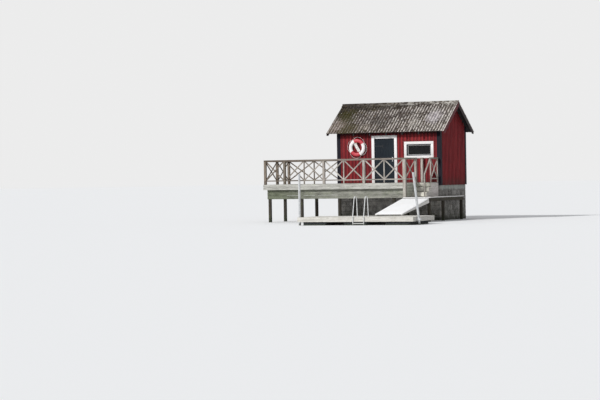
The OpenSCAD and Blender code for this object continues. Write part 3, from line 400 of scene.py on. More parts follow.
# the skirt's left tone is painted shade, tinted green, towards the left end
skirtWood = dict(greyWood, dark=tint(106, 106, 98), pale=tint(186, 185, 174), leftShade=0.9,
                 leftShadeTone=tint(184, 194, 172), patches=[lichen, dict(algae, amount=0.4)])
treadWood = dict(greyWood, dark=tint(186, 183, 172), pale=tint(250, 246, 234), spread=0.2, cracks=0.4)
cheekWood = dict(greyWood, dark=tint(182, 174, 170), pale=tint(236, 229, 226), spread=0.15, cracks=0.4)
finishes = {
    "wall": boardFinish("redWallBoards", redBoards, upright=True),
    "wallInner": boardFinish("innerWallBoards", {
        "dark": tint(150, 116, 80), "pale": tint(204, 172, 130), "pitch": 0.12, "start": site["leftX"],
        "rough": 0.75, "spread": 0.2, "cracks": 0.2}, upright=True),
    "redOver": boardFinish("redPaintedStrips", redStrips),
    "rail": boardFinish("weatheredRailings", railWood),
    "fascia": boardFinish("paleWeatheredBoards", paleWood),
    "tread": boardFinish("trodStairBoards", treadWood),
    "cheek": boardFinish("stairSideBoards", cheekWood),
    "grey": boardFinish("weatheredGreyBoards", greyWood),
    "skirt": boardFinish("skirtBoards", skirtWood),
    # dark paint on the linings and sash that stands for the shade in the window's reveal: painted shade
    "lining": boardFinish("darkWindowLining", {
        "dark": tint(40, 40, 46), "pale": tint(84, 82, 86),
        "paint": tint(36, 38, 52), "faded": tint(48, 50, 62), "deep": tint(18, 20, 30),
        "rough": 0.6, "wear": 0.3, "spread": 0.15, "specular": 0.15}),
    # painted shade: the timbers go nearly black where they stand out past the walls, under the eaves
    "eaves": boardFinish("roofTimber", {
        "dark": tint(132, 98, 64), "pale": tint(186, 150, 108), "rough": 0.78, "spread": 0.22, "cracks": 0.25,
        "outer": tint(20, 20, 22), "outerShadeGrain": tint(44, 43, 42)}),
    "dark": boardFinish("darkPaintedBoards", {
        "dark": tint(56, 52, 50), "pale": tint(104, 98, 92),
        "paint": tint(20, 18, 28), "faded": tint(31, 28, 40), "deep": tint(10, 11, 18),
        "rough": 0.7, "wear": 0.3, "wearFrom": 0.64, "spread": 0.1, "specular": 0.15}),
    "black": boardFinish("blackVergeBoards", {
        "dark": tint(44, 38, 36), "pale": tint(84, 76, 70),
        "paint": tint(33, 20, 22), "faded": tint(46, 31, 32), "deep": tint(16, 11, 12),
        "facing": tint(70, 18, 26), "facingWorn": tint(96, 30, 36),
        "rough": 0.72, "wear": 0.35, "wearFrom": 0.62, "spread": 0.15, "patches": [dict(algae, amount=0.2)]}),
    "white": boardFinish("whitePaintedBoards", {
        "dark": tint(120, 112, 100), "pale": tint(176, 168, 152),
        "paint": tint(248, 246, 246), "faded": tint(238, 236, 234), "deep": tint(224, 222, 219),
        "rough": 0.45, "wear": 0.5, "wearFrom": 0.66, "wearTo": 0.70, "spread": 0.06, "cracks": 0.35,
        "patches": [
            {"scale": 4.0, "low": 0.55, "high": 0.8, "amount": 0.25, "colour": tint(168, 166, 150)}]}),
    "gangway": boardFinish("whiteGangwayPaint", {
        "dark": tint(150, 144, 132), "pale": tint(196, 190, 176),
        "paint": tint(255, 255, 255), "faded": tint(252, 251, 250), "deep": tint(240, 238, 236),
        "rough": 0.5, "wear": 0.35, "wearFrom": 0.66, "wearTo": 0.70, "spread": 0.04, "cracks": 0.3,
        "brush": 0.15}),
    "gangwaySide": boardFinish("paleGangwayBeams", {
        "dark": tint(200, 197, 189), "pale": tint(246, 244, 240), "rough": 0.72, "spread": 0.1, "cracks": 0.3,
        "patches": [dict(algae, amount=0.15)]}),
    "door": boardFinish("doorPaint", {
        "dark": tint(84, 80, 74), "pale": tint(132, 124, 112),
        "paint": tint(26, 34, 42), "faded": tint(36, 45, 52), "deep": tint(17, 23, 29),
        "rough": 0.55, "wear": 0.4, "wearFrom": 0.64, "spread": 0.12, "specular": 0.15}),
    # dark wet framing, made darker still as painted shade under the deck and the landing
    "under": boardFinish("darkFramingTimber", {
        "dark": tint(34, 31, 26), "pale": tint(74, 68, 58), "rough": 0.85, "spread": 0.3, "cracks": 0.6,
        "wetTop": 0.42, "wet": tint(40, 46, 30), "patches": [dict(algae, amount=0.4)]}),
    "raw": boardFinish("bareTimber", {
        "dark": tint(140, 104, 68), "pale": tint(196, 160, 116), "rough": 0.75, "spread": 0.22,
        "cracks": 0.2}),
    "jetty": boardFinish("paleJettyTimber", {
        "dark": tint(176, 172, 163), "pale": tint(230, 227, 220), "rough": 0.75, "spread": 0.12,
        "cracks": 0.35, "wetTop": 0.20, "wet": tint(150, 146, 118), "patches": [
            dict(algae, amount=0.22),
            {"scale": 5.0, "low": 0.5, "high": 0.75, "amount": 0.3, "colour": tint(176, 170, 156)}]}),
}
print("board finishes made")


def roofFinish(name, ridge=False):
    look = {"base": tint(96, 86, 80), "warm": tint(132, 120, 114), "pale": tint(218, 210, 203),
            "dark": tint(32, 27, 24), "moss": tint(70, 62, 30), "lichen": tint(218, 214, 205),
            "ochre": tint(132, 108, 70), "shade": tint(50, 40, 33), "vergeFrom": 0.085, "vergeTo": 0.03}
    # patches on the slopes, dark, mossy and pale: how far along, how far up, their reach both ways, colour
    # and strength
    slopePatches = [
        (0.05, 0.84, 0.14, 0.36, tint(32, 26, 20), 1.0),
        (0.24, 1.00, 0.36, 0.24, tint(36, 29, 24), 1.0),
        (0.64, 1.02, 0.36, 0.18, tint(50, 42, 36), 0.95),
        (0.10, 0.55, 0.08, 0.30, tint(50, 46, 14), 1.0),
        (0.17, 0.14, 0.08, 0.26, tint(60, 52, 26), 0.9),
        (0.05, 0.28, 0.08, 0.22, tint(186, 168, 162), 0.4),
        (0.86, 0.50, 0.07, 0.22, tint(208, 200, 206), 0.5),
        (0.72, 0.30, 0.05, 0.16, tint(200, 194, 186), 0.4),
        (0.42, 0.42, 0.12, 0.20, tint(54, 46, 42), 0.7),
        (0.30, 0.22, 0.04, 0.14, tint(196, 184, 172), 0.4),
        (0.58, 0.62, 0.10, 0.14, tint(60, 50, 46), 0.6),
        (0.95, 0.86, 0.05, 0.12, tint(66, 56, 48), 0.6)]
    f = Finish(name, {"Specular IOR Level": 0.2})
    x, y, z = f.split(f.place)
    phase = (x - roof["leftX"]) / roof["pitch"]
    crest = 0.5 - 0.5 * (phase * math.tau).maths("COSINE")
    rightward = x.between(roof["leftX"] + 0.2, roof["leftX"] + 4.8)
    blotch = f.noise(f.place, 2.2, 5.0, 0.62)
    fine = f.noise(f.place, 46.0, 4.0, 0.7)
    streak = f.noise(f.join(x * 34.0, y * 2.6, z * 2.6), 1.0, 4.0, 0.6)
    dash = f.noise(f.join(x * 9.0, y * 4.5, z * 4.5), 1.6, 5.0, 0.62, 0.4)
    colour = f.mix(blotch.between(0.35, 0.65), look["base"], look["warm"])
    colour = f.mix(streak.between(0.42, 0.62) * 0.6, colour, look["dark"])
    if not ridge:
        groove = 1.0 - crest.between(0.12, 0.60)
        colour = f.mix(groove * (dash.between(0.36, 0.56) * 0.35 + 0.55), colour, look["dark"])
        pale = crest.between(0.4, 0.85) * dash.between(0.42, 0.56)
        colour = f.mix(pale * (rightward * 0.40 + 0.50), colour, look["pale"])
        verge = x.between(roof["rightX"] - look["vergeFrom"], roof["rightX"] - look["vergeTo"])
        colour = f.mix(verge * 0.85, colour, look["pale"])
    colour = f.mix((1.0 - dash.between(0.37, 0.48)) * 0.85, colour, look["shade"])
    along = (x - roof["leftX"]) / (roof["rightX"] - roof["leftX"])
    upward = (z - eaveZ) / (roofHeight(midY) - eaveZ)
    ragged = (f.noise(f.place, 3.4, 5.0, 0.62) - 0.5) * 2.2 + (f.noise(f.place, 11.0, 4.0, 0.6) - 0.5) * 2.4
    broken = f.noise(f.place, 16.0, 4.0, 0.6).between(0.34, 0.56)
    for middle, rise, wide, tall, growth, strength in slopePatches:
        far = ((along - middle) / wide).maths("POWER", 2.0) + ((upward - rise) / tall).maths("POWER", 2.0)
        spread = 1.0 - (far.maths("SQRT") + ragged).between(0.5, 1.25)
        held = 0.75 if strength > 0.56 else 0.1  # the darker patches cover the sheet, the pale ones dust it
        colour = f.mix(spread * (broken * (1 - held) + held) * strength, colour, growth)
    warp = f.noise(f.place, 30.0, 3.0, 0.6)
    wavering = f.join(x + warp * 0.05, y + warp * 0.03, z + warp * 0.05)
    spots = f.add("ShaderNodeTexVoronoi", values={"Vector": wavering, "Scale": 17.0, "Randomness": 1.0})
    crust = f.add("ShaderNodeTexVoronoi", values={"Vector": wavering, "Scale": 43.0, "Randomness": 1.0})
    where = f.noise(f.place, 3.0, 4.0).between(0.42, 0.60)
    spots = ((1.0 - spots.between(0.12, 0.40)) * 0.7 + (1.0 - crust.between(0.18, 0.5)) * 0.6) * where
    if ridge:
        pale = f.noise(f.place, 7.0, 5.0, 0.65).between(0.44, 0.58) * (rightward * 0.5 + 0.02)
        colour = f.mix(pale, colour, look["lichen"])
    colour = f.mix(spots * (rightward * 0.6 + 0.08), colour, look["lichen"])
    moss = f.noise(f.place, 5.5, 5.0, 0.65) * 0.62 + f.noise(f.place, 1.1, 2.0) * 0.38
    moss = (moss - rightward * 0.06).between(0.50, 0.60)
    colour = f.mix(moss * 0.4, colour, look["moss"])
    colour = f.mix(f.speckle(9.0, 0.58, 0.72) * 0.4, colour, look["ochre"])
    height = fine * 0.5 + spots * 0.5 + moss * 0.9 + streak * 0.3
    return f.drive(Base_Color=colour, Roughness=fine * 0.2 + 0.75, Normal=f.bump(height, 0.004, 0.8))


def mossFinish():
    look = {"green": tint(78, 74, 30), "brown": tint(96, 82, 48), "deep": tint(36, 36, 16)}
    f = Finish("roofMoss", {"Specular IOR Level": 0.1, "Sheen Weight": 0.2})
    tuft = f.noise(f.place, 220.0, 4.0, 0.7)
    patch = f.noise(f.place, 5.0, 3.0)
    colour = f.mix(patch.between(0.38, 0.62), look["green"], look["brown"])
    colour = f.mix(tuft.between(0.35, 0.6), look["deep"], colour)
    return f.drive(Base_Color=colour, Roughness=tuft * 0.1 + 0.88, Normal=f.bump(tuft, 0.004, 1.0))


def masonryFinish(name, dark, pale, moss=0.5):
    look = {"glint": tint(196, 192, 184), "pit": tint(44, 42, 40), "paleTop": tint(172, 178, 172),
            "moss": tint(66, 72, 44), "foot": tint(38, 40, 30)}
    f = Finish(name, {"Specular IOR Level": 0.25})
    z = f.split(f.place)[2]
    tone = f.add("ShaderNodeAttribute", {"attribute_name": "tone"}, out="Fac")
    grit = f.noise(f.place, 55.0, 5.0, 0.7)
    cloud = f.noise(f.place, 4.0, 4.0, 0.6)
    colour = f.mix((grit * 0.5 + cloud * 0.5).between(0.38, 0.62), dark, pale)
    # the block tones carry painted light and shade: lighter blocks at the front, darker at the sides and back
    colour = f.mix(1.0, colour, tone * 0.55 + 0.45, "MULTIPLY")
    crystals = f.add("ShaderNodeTexVoronoi", values={"Vector": f.place, "Scale": 150.0}, out="Color")
    crystal = f.split(crystals)[0]
    colour = f.mix(crystal.between(0.8, 0.95) * 0.45, colour, look["glint"])
    colour = f.mix((1.0 - crystal.between(0.05, 0.2)) * 0.5, colour, look["pit"])
    # paler near the top, mossy lower down and dark at the water
    paleTop = (z + cloud * 0.12).between(site["plinthTop"] - 0.16, site["plinthTop"] - 0.06)
    colour = f.mix(paleTop * 0.5, colour, look["paleTop"])
    growth = (1.0 - z.between(0.15, 0.75)) * f.speckle(6.0, 0.4, 0.6)
    colour = f.mix(growth * moss, colour, look["moss"])
    colour = f.mix((1.0 - z.between(0.03, 0.22)) * 0.7, colour, look["foot"])
    return f.drive(Base_Color=colour, Roughness=grit * 0.2 + 0.72,
                   Normal=f.bump(grit + cloud * 0.8, 0.006, 0.8))


def steelFinish():
    look = {"dull": tint(172, 174, 176), "bright": tint(204, 206, 208), "pale": tint(222, 223, 222),
            "rust": tint(122, 84, 56)}
    slime = {"scale": 14.0, "detail": 3.0, "ragged": 0.12, "low": 0.08, "high": 0.2, "amount": 0.8,
             "tone": tint(58, 62, 44)}
    f = Finish("galvanisedSteel", {"Metallic": 0.55})
    x, y, z = f.split(f.place)
    spangle = f.add("ShaderNodeTexVoronoi", values={"Vector": f.place, "Scale": 75.0}, out="Color")
    flake = f.split(spangle)[0]
    cloud = f.noise(f.place, 7.0, 4.0)
    colour = f.mix(flake, look["dull"], look["bright"])
    colour = f.mix(cloud.between(0.4, 0.7) * 0.5, colour, look["pale"])
    rust = f.noise(f.join(x * 30.0, y * 30.0, z * 5.0), 1.0, 5.0, 0.65).between(0.62, 0.72)
    colour = f.slime(f.mix(rust * 0.55, colour, look["rust"]), slime)
    return f.drive(Base_Color=colour, Roughness=flake * 0.12 + cloud * 0.2 + rust * 0.3 + 0.28,
                   Normal=f.bump(cloud, 0.0012, 0.5))


def ironFinish():
    look = {"black": tint(22, 25, 30), "grey": tint(38, 42, 47), "rust": tint(104, 70, 48)}
    f = Finish("blackedIron", {"Metallic": 0.2})
    wear = f.noise(f.place, 60.0, 4.0, 0.65)
    cloud = f.noise(f.place, 9.0, 3.0)
    colour = f.mix(cloud.between(0.35, 0.7), look["black"], look["grey"])
    colour = f.mix(wear.between(0.6, 0.72) * 0.6, colour, look["rust"])
    return f.drive(Base_Color=colour, Roughness=wear * 0.25 + 0.42, Normal=f.bump(wear, 0.0006, 0.6))


def paintedTubeFinish():
    look = {"white": tint(226, 226, 226), "dull": tint(206, 208, 206), "chipped": tint(126, 104, 84)}
    slime = {"scale": 18.0, "detail": 3.0, "ragged": 0.1, "low": 0.06, "high": 0.18, "amount": 0.75,
             "tone": tint(72, 76, 54)}
    f = Finish("whitePaintedTube", {"Metallic": 0.0, "Coat Roughness": 0.2})
    chips = (f.noise(f.place, 42.0, 5.0, 0.7) * 0.7 + f.noise(f.place, 6.0, 2.0) * 0.3).between(0.60, 0.64)
    wear = f.noise(f.place, 9.0, 3.0)
    colour = f.mix(wear.between(0.35, 0.7), look["white"], look["dull"])
    colour = f.slime(f.mix(chips * 0.7, colour, look["chipped"]), slime)
    return f.drive(Base_Color=colour, Roughness=wear * 0.15 + chips * 0.3 + 0.3,
                   Normal=f.bump(1.0 - chips, 0.0006, 0.6))


def glassFinish():
    # the dark tint is painted shade, standing for the dim room behind the pane
    look = {"clear": tint(44, 52, 60), "dusty": tint(70, 76, 78)}
    f = Finish("windowGlass", {"Transmission Weight": 0.92, "IOR": 1.34})
    dust = f.noise(f.place, 8.0, 4.0).between(0.5, 0.8)
    ripple = f.noise(f.place, 3.2, 2.0)
    colour = f.mix(dust * 0.3, look["clear"], look["dusty"])
    return f.drive(Base_Color=colour, Roughness=dust * 0.10 + 0.02, Normal=f.bump(ripple, 0.0015, 0.35))


def ringFinish():
    # the ring's two red quarters and two white quarters, by the angle round its middle
    look = {"red": tint(190, 42, 56), "fadedRed": tint(205, 72, 84), "white": tint(250, 246, 246),
            "fadedWhite": tint(238, 232, 230), "scuffed": tint(140, 130, 122), "turn": math.radians(75)}
    f = Finish("lifebuoyPlastic", {"Specular IOR Level": 0.5})
    x, _, z = f.split(f.place)
    angle = (z - buoy["centre"].z).maths("ARCTAN2", x - buoy["centre"].x)
    red = ((angle - look["turn"]) * 2.0).maths("COSINE").between(-0.03, 0.03)
    scuff = f.noise(f.place, 30.0, 4.0, 0.65)
    fade = f.noise(f.place, 4.0, 3.0).between(0.35, 0.7)
    colour = f.mix(red, f.mix(fade, look["white"], look["fadedWhite"]),
                   f.mix(fade, look["red"], look["fadedRed"]))
    colour = f.mix(scuff.between(0.6, 0.75) * 0.35, colour, look["scuffed"])
    return f.drive(Base_Color=colour, Roughness=scuff * 0.25 + 0.32, Normal=f.bump(scuff, 0.0006, 0.5))


def ropeFinish(name, pale, dark):
    look = {"dirt": tint(176, 170, 154), "dirty": 0.22}
    f = Finish(name, {"Sheen Weight": 0.3, "Specular IOR Level": 0.3})
    hair = f.noise(f.place, 420.0, 3.0)
    dirt = f.noise(f.place, 12.0, 3.0)
    colour = f.mix(hair.between(0.3, 0.7), dark, pale)
    colour = f.mix(dirt.between(0.5, 0.75) * look["dirty"], colour, look["dirt"])
    return f.drive(Base_Color=colour, Roughness=hair * 0.15 + 0.8, Normal=f.bump(hair, 0.0006, 0.8))


def floatFinish():
    look = {"dark": tint(32, 37, 43), "worn": tint(50, 55, 61), "scraped": tint(112, 116, 118)}
    slime = {"scale": 16.0, "detail": 4.0, "ragged": 0.06, "low": 0.05, "high": 0.1, "amount": 0.7,
             "tone": tint(52, 60, 36)}
    f = Finish("mouldedFloat", {"Specular IOR Level": 0.4})
    x, y, z = f.split(f.place)
    grainy = f.noise(f.place, 160.0, 3.0, 0.6)
    cloud = f.noise(f.place, 5.0, 4.0)
    colour = f.mix(cloud.between(0.35, 0.7), look["dark"], look["worn"])
    scrape = f.noise(f.join(x * 6.0, y * 6.0, z * 90.0), 1.0, 4.0).between(0.62, 0.7)
    colour = f.slime(f.mix(scrape * 0.35, colour, look["scraped"]), slime)
    return f.drive(Base_Color=colour, Roughness=grainy * 0.2 + cloud * 0.2 + 0.38,
                   Normal=f.bump(grainy, 0.0008, 0.6))


finishes.update({
    "sheet": roofFinish("weatheredRoofSheet"), "ridge": roofFinish("weatheredRidge", ridge=True),
    "moss": mossFinish(),
    "stone": masonryFinish("plinthStone", tint(104, 103, 101), tint(188, 184, 179)),
    "mortar": masonryFinish("plinthMortar", tint(112, 110, 104), tint(160, 157, 150), 0.7),
    "steel": steelFinish(), "iron": ironFinish(), "tube": paintedTubeFinish(), "glass": glassFinish(),
    "ring": ringFinish(), "rope": ropeFinish("whiteRope", tint(254, 253, 250), tint(238, 235, 229)),
    "float": floatFinish(),
})
print("other finishes made")


dice = random.Random(4)
facingFront = Matrix.Rotation(math.radians(90), 4, "X")
nail = {"radius": 0.0045, "height": 0.0012, "taper": 0.7, "sides": 7, "inset": 0.022, "sink": 0.0004}


def grainRun(face):
    # the grain follows the longest edge of a face, always pointed the same way
    longest = max(face.edges, key=lambda e: e.calc_length())
    along = (longest.verts[1].co - longest.verts[0].co).normalized()
    return -along if along.x + along.y * 0.9 + along.z * 0.8 < 0 else along


def grainMap(bm):
    # u runs along the grain, v across it, in metres
    layer = bm.loops.layers.uv.get("grain") or bm.loops.layers.uv.new("grain")
    for face in bm.faces:
        along = grainRun(face)
        if along.length < 0.5:
            continue
        across = face.normal.cross(along)
        for loop in face.loops:
            loop[layer].uv = (loop.vert.co.dot(along), loop.vert.co.dot(across))


def toneByRun(bm):
    # one tone for each member of a joined frame, told apart by its direction and place
    apart = 0.4
    layer = bm.faces.layers.float.get("tone") or bm.faces.layers.float.new("tone")
    for face in bm.faces:
        along = grainRun(face)
        middle = face.calc_center_median()
        middle -= along * middle.dot(along)
        key = tuple(round(v, 1) for v in along) + tuple(math.floor(v / apart) for v in middle)
        face[layer] = random.Random(str(key)).random()


def finishPiece(name, bm, body, finish, replaces=(), sharp=35):
    mesh = bpy.data.meshes.new(name)
    bm.normal_update()
    grainMap(bm)
    bm.to_mesh(mesh)
    bm.free()
    mesh.shade_smooth()
    mesh.set_sharp_from_angle(angle=math.radians(sharp))
    mesh.materials.append(finishes[finish])
    piece = bpy.data.objects.new(name, mesh)
    bpy.context.scene.collection.objects.link(piece)
    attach(piece, body)
    if replaces:
        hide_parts(*replaces)
    print("made", name, len(mesh.polygons))


def newBmesh():
    bm = bmesh.new()
    bm.faces.layers.float.new("tone")
    return bm


def pour(bm, part, place=None):
    # joins a small bmesh into a larger one
    if place is not None:
        part.transform(place)
    mesh = bpy.data.meshes.new("part")
    part.to_mesh(mesh)
    part.free()
    bm.from_mesh(mesh)
    bpy.data.meshes.remove(mesh)


def easeEdges(bm, edges, ease, segments=1):
    bmesh.ops.bevel(bm, geom=edges, offset=ease, offset_type="OFFSET", affect="EDGES", segments=segments,
                    profile=0.5, material=-1, clamp_overlap=True, loop_slide=True)


def layBoards(boards, ease=0.003, place=None, segments=1, tones=()):
    # eased boards, each from its lowest corner to its highest and with a tone of its own
    bm = newBmesh()
    tone = bm.faces.layers.float["tone"]
    for i, (low, high) in enumerate(boards):
        low, high = Vector(low), Vector(high)
        spot = Matrix.Translation((low + high) / 2) @ Matrix.Diagonal((*(high - low), 1))
        made = bmesh.ops.create_cube(bm, size=1, matrix=spot)
        value = tones[i] if tones else dice.random()
        for face in {f for v in made["verts"] for f in v.link_faces}:
            face[tone] = value
    easeEdges(bm, bm.edges[:], ease, segments)
    if place is not None:
        bm.transform(place)
    return bm


def cutOff(bm, point, normal):
    # takes away all that lies past a plane and closes the cut
    whole = bm.verts[:] + bm.edges[:] + bm.faces[:]
    cut = bmesh.ops.bisect_plane(bm, geom=whole, plane_co=point, plane_no=normal, clear_outer=True)
    rim = [e for e in cut["geom_cut"] if isinstance(e, bmesh.types.BMEdge)]
    bmesh.ops.edgenet_fill(bm, edges=rim)


def addCone(bm, sides, foot, top, height, place):
    bmesh.ops.create_cone(bm, cap_ends=True, segments=sides, radius1=foot, radius2=top, depth=height,
                          matrix=place)


def nailHead(radius, height):
    bm = newBmesh()
    addCone(bm, nail["sides"], radius, radius * nail["taper"], height, Matrix.Translation((0, 0, height / 2)))
    return bm


def addNails(name, spots, body):
    bm = newBmesh()
    for spot in spots:
        pour(bm, nailHead(nail["radius"], nail["height"]), Matrix.Translation(spot))
    finishPiece(name, bm, body, "steel")


def solidCopy(node):
    # a merged copy of a solid, with its flat faces whole again
    merged, flat = 1e-5, math.radians(0.6)
    bm = bmesh.new()
    bm.from_mesh(frame["nodes"][node].data)
    bmesh.ops.remove_doubles(bm, verts=bm.verts[:], dist=merged)
    bmesh.ops.dissolve_limit(bm, angle_limit=flat, verts=bm.verts[:], edges=bm.edges[:])
    bm.normal_update()
    return bm


def splitMembers(bm):
    # parts each flush face where one member ends, so that every post and rail keeps its own grain
    split = {"square": 0.999, "reach": 0.25, "near": 0.0004}
    planes = set()
    for face in bm.faces:
        axis = max(range(3), key=lambda i: abs(face.normal[i]))
        reach = max(e.calc_length() for e in face.edges)
        if abs(face.normal[axis]) > split["square"] and reach > split["reach"]:
            planes.add((axis, round(face.calc_center_median()[axis], 4)))
    handrail = sorted(level for axis, level in planes if axis == 2)[-2]
    for axis, level in sorted(planes, reverse=True):
        normal = Vector([1.0 if i == axis else 0.0 for i in range(3)])
        faces = [f for f in bm.faces if axis == 2 or f.calc_center_median().z < handrail]
        edges, verts = {e for f in faces for e in f.edges}, {v for f in faces for v in f.verts}
        bmesh.ops.bisect_plane(bm, geom=list(verts) + list(edges) + faces, plane_co=normal * level,
                               plane_no=normal, dist=split["near"])
    bm.normal_update()


def easedCopy(node, finish, ease=0.003, body="building", segments=1, sharp=35, split=False):
    # a solid with its corners eased and a tone for each of its members
    corner = math.radians(28)
    bm = solidCopy(node)
    if split:
        splitMembers(bm)
    corners = [e for e in bm.edges if len(e.link_faces) == 2 and e.calc_face_angle() > corner]
    easeEdges(bm, corners, ease, segments)
    bm.normal_update()
    toneByRun(bm)
    finishPiece(node + "_eased", bm, body, finish, (node,), sharp)


def paintWalls():
    # red outside and bare boards inside, on the solids themselves
    inset = 0.004
    for node in ("front_wall_left", "front_wall_over_door", "front_wall_right", "back_wall",
                 "left_gable", "right_gable"):
        wall = frame["nodes"][node]
        wall.data.materials.clear()
        wall.data.materials.append(finishes["wall"])
        wall.data.materials.append(finishes["wallInner"])
        for face in wall.data.polygons:
            c = face.center
            within = (site["leftX"] + site["wallT"] - inset < c.x < site["rightX"] - site["wallT"] + inset
                      and site["wallY"] + site["wallT"] - inset < c.y < site["backY"] - site["wallT"] + inset)
            face.material_index = 1 if within else 0


cladding = {"pitch": 0.155, "strip": 0.062, "thick": 0.017, "stray": 0.0015, "off": 0.0002, "foot": 0.012,
            "below": 0.006, "height": 2.30, "ease": 0.003, "corner": 0.15, "edge": 0.002, "narrowest": 0.02,
            "shortest": 0.03, "overRoof": 0.4, "underRoof": 0.026}


def stripSides(middle, first, last):
    half = cladding["strip"] / 2
    return max(first + cladding["edge"], middle - half), min(last - cladding["edge"], middle + half)


def stripDepth(wall, outward):
    thick = cladding["thick"] + dice.uniform(-cladding["stray"], cladding["stray"])
    return (wall - thick, wall - cladding["off"]) if outward < 0 else (wall + cladding["off"], wall + thick)


def cladWall(name, x0, x1, y, outward, cuts):
    # cover strips up one long wall; cuts are (x0, x1, bottom, top) of what interrupts them
    top = site["plinthTop"] + cladding["height"]
    boards = []
    count = round((x1 - x0) / cladding["pitch"])
    step = (x1 - x0) / count
    for i in range(count + 1):
        a, b = stripSides(x0 + i * step, x0, x1)
        spans = [(site["plinthTop"] + cladding["foot"] * dice.random() - cladding["below"], top)]
        for left, right, bottom, over in cuts:
            if b > left and a < right:
                if left - a > cladding["narrowest"]:
                    b = left
                elif b - right > cladding["narrowest"]:
                    a = right
                else:
                    parts = [s for low, high in spans for s in ((low, bottom), (over, high))]
                    spans = [s for s in parts if s[1] - s[0] > cladding["shortest"]]
        y0, y1 = stripDepth(y, outward)
        boards += [((a, y0, low), (b, y1, high)) for low, high in spans]
    finishPiece(name, layBoards(boards, cladding["ease"]), "building", "redOver")


def cladGable(name, x, outward):
    y0, y1 = site["wallY"] + cladding["corner"], site["backY"] - cladding["corner"]
    count = round((y1 - y0) / cladding["pitch"])
    boards = []
    for i in range(count + 1):
        y = y0 + (y1 - y0) * i / count
        a, b = stripSides(y, y0, y1)
        x0, x1 = stripDepth(x, outward)
        foot = site["plinthTop"] + cladding["foot"] * dice.random() - cladding["below"]
        boards.append(((x0, a, foot), (x1, b, roofHeight(y) + cladding["overRoof"])))
    bm = layBoards(boards, cladding["ease"])
    # the strips end under the slopes of the roof
    point = Vector((x, midY, roofHeight(midY) - cladding["underRoof"] / math.cos(site["pitch"])))
    for side in (-1, 1):
        cutOff(bm, point, Vector((0, side * math.sin(site["pitch"]), math.cos(site["pitch"]))))
    finishPiece(name, bm, "building", "redOver")


def makeCladding():
    corner = cladding["corner"]
    left, right = site["leftX"] + corner, site["rightX"] - corner
    door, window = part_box("door_casing"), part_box("window_casing")
    cuts = [(door[0].x, door[1].x, door[0].z - 1, door[1].z),
            (window[0].x, window[1].x, window[0].z, window[1].z)]
    cladWall("front_strips", left, right, site["wallY"], -1, cuts)
    cladWall("back_strips", left, right, site["backY"], 1, [])
    cladGable("right_gable_strips", site["rightX"], 1)
    cladGable("left_gable_strips", site["leftX"], -1)


def makePlinth():
    # laid blocks with mortar between them, inside the solid's own faces
    plan = {"wall": 0.22, "course": 0.21, "joint": 0.014, "depth": 0.075, "shortest": 0.28, "longest": 0.52,
            "ease": 0.012, "back": 0.012, "jitter": 0.006, "least": 0.01, "mortarTone": 0.5,
            "litFrontTones": (0.7, 1), "shadedSideTones": (0, 0.75)}
    low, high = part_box("plinth")
    core = newBmesh()
    wide, deep, tall = (high[i] - low[i] for i in range(3))
    size = Matrix.Diagonal((wide - 2 * plan["back"], deep - 2 * plan["back"], tall, 1))
    bmesh.ops.create_cube(core, size=1, matrix=Matrix.Translation((low + high) / 2) @ size)
    caps = [f for f in core.faces if abs(f.normal.z) > 0.5]
    bmesh.ops.inset_individual(core, faces=caps, thickness=plan["wall"] - plan["back"], use_even_offset=True)
    bmesh.ops.bridge_loops(core, edges=[e for f in caps for e in f.edges])
    bmesh.ops.delete(core, geom=caps, context="FACES_ONLY")
    for face in core.faces:
        face[core.faces.layers.float["tone"]] = plan["mortarTone"]
    finishPiece("plinth_mortar", core, "building", "mortar", ("plinth",))
    blocks, tones = [], []
    rows = round(tall / plan["course"])
    height = tall / rows
    setIn = plan["depth"] + plan["joint"]
    for row in range(rows):
        z0, z1 = low.z + row * height, low.z + (row + 1) * height - plan["joint"]
        for side in ("front", "back", "left", "right"):
            lengthwise = side in ("front", "back")
            start, last = (low.x, high.x) if lengthwise else (low.y + setIn, high.y - setIn)
            first, second = (low.y, high.y) if lengthwise else (low.x, high.x)
            while start < last - plan["least"]:
                length = dice.uniform(plan["shortest"], plan["longest"])
                stop = last if last - start - length < plan["shortest"] else start + length
                end = stop if stop == last else stop - plan["joint"]
                inset = dice.uniform(0, plan["jitter"])
                if side in ("front", "left"):
                    near, far = first + inset, first + plan["depth"]
                else:
                    near, far = second - plan["depth"], second - inset
                if lengthwise:
                    blocks.append(((start, near, z0), (end, far, z1)))
                else:
                    blocks.append(((near, start, z0), (far, end, z1)))
                # painted light and shade: front blocks take light tones as if lit, the others dark tones as
                # if in shade
                tones.append(dice.uniform(*plan["litFrontTones" if side == "front" else "shadedSideTones"]))
                start = stop
    finishPiece("plinth_blocks", layBoards(blocks, plan["ease"], segments=2, tones=tones), "building",
                "stone", sharp=60)


def sheetWave(x):
    return (roof["wave"] - roof["sheet"]) / 2 * (1 - math.cos(math.tau * (x - roof["leftX"]) / roof["pitch"]))


def slopePlace(back):
    # local x along the eaves, y up the slope, z off the roof
    turned = Matrix.Rotation(site["pitch"], 4, "X")
    if back:
        eaveY = site["backY"] + site["eaveOut"]
        return Matrix.Translation((0, eaveY, eaveZ)) @ Matrix.Diagonal((1, -1, 1, 1)) @ turned
    return Matrix.Translation((0, site["wallY"] - site["eaveOut"], eaveZ)) @ turned


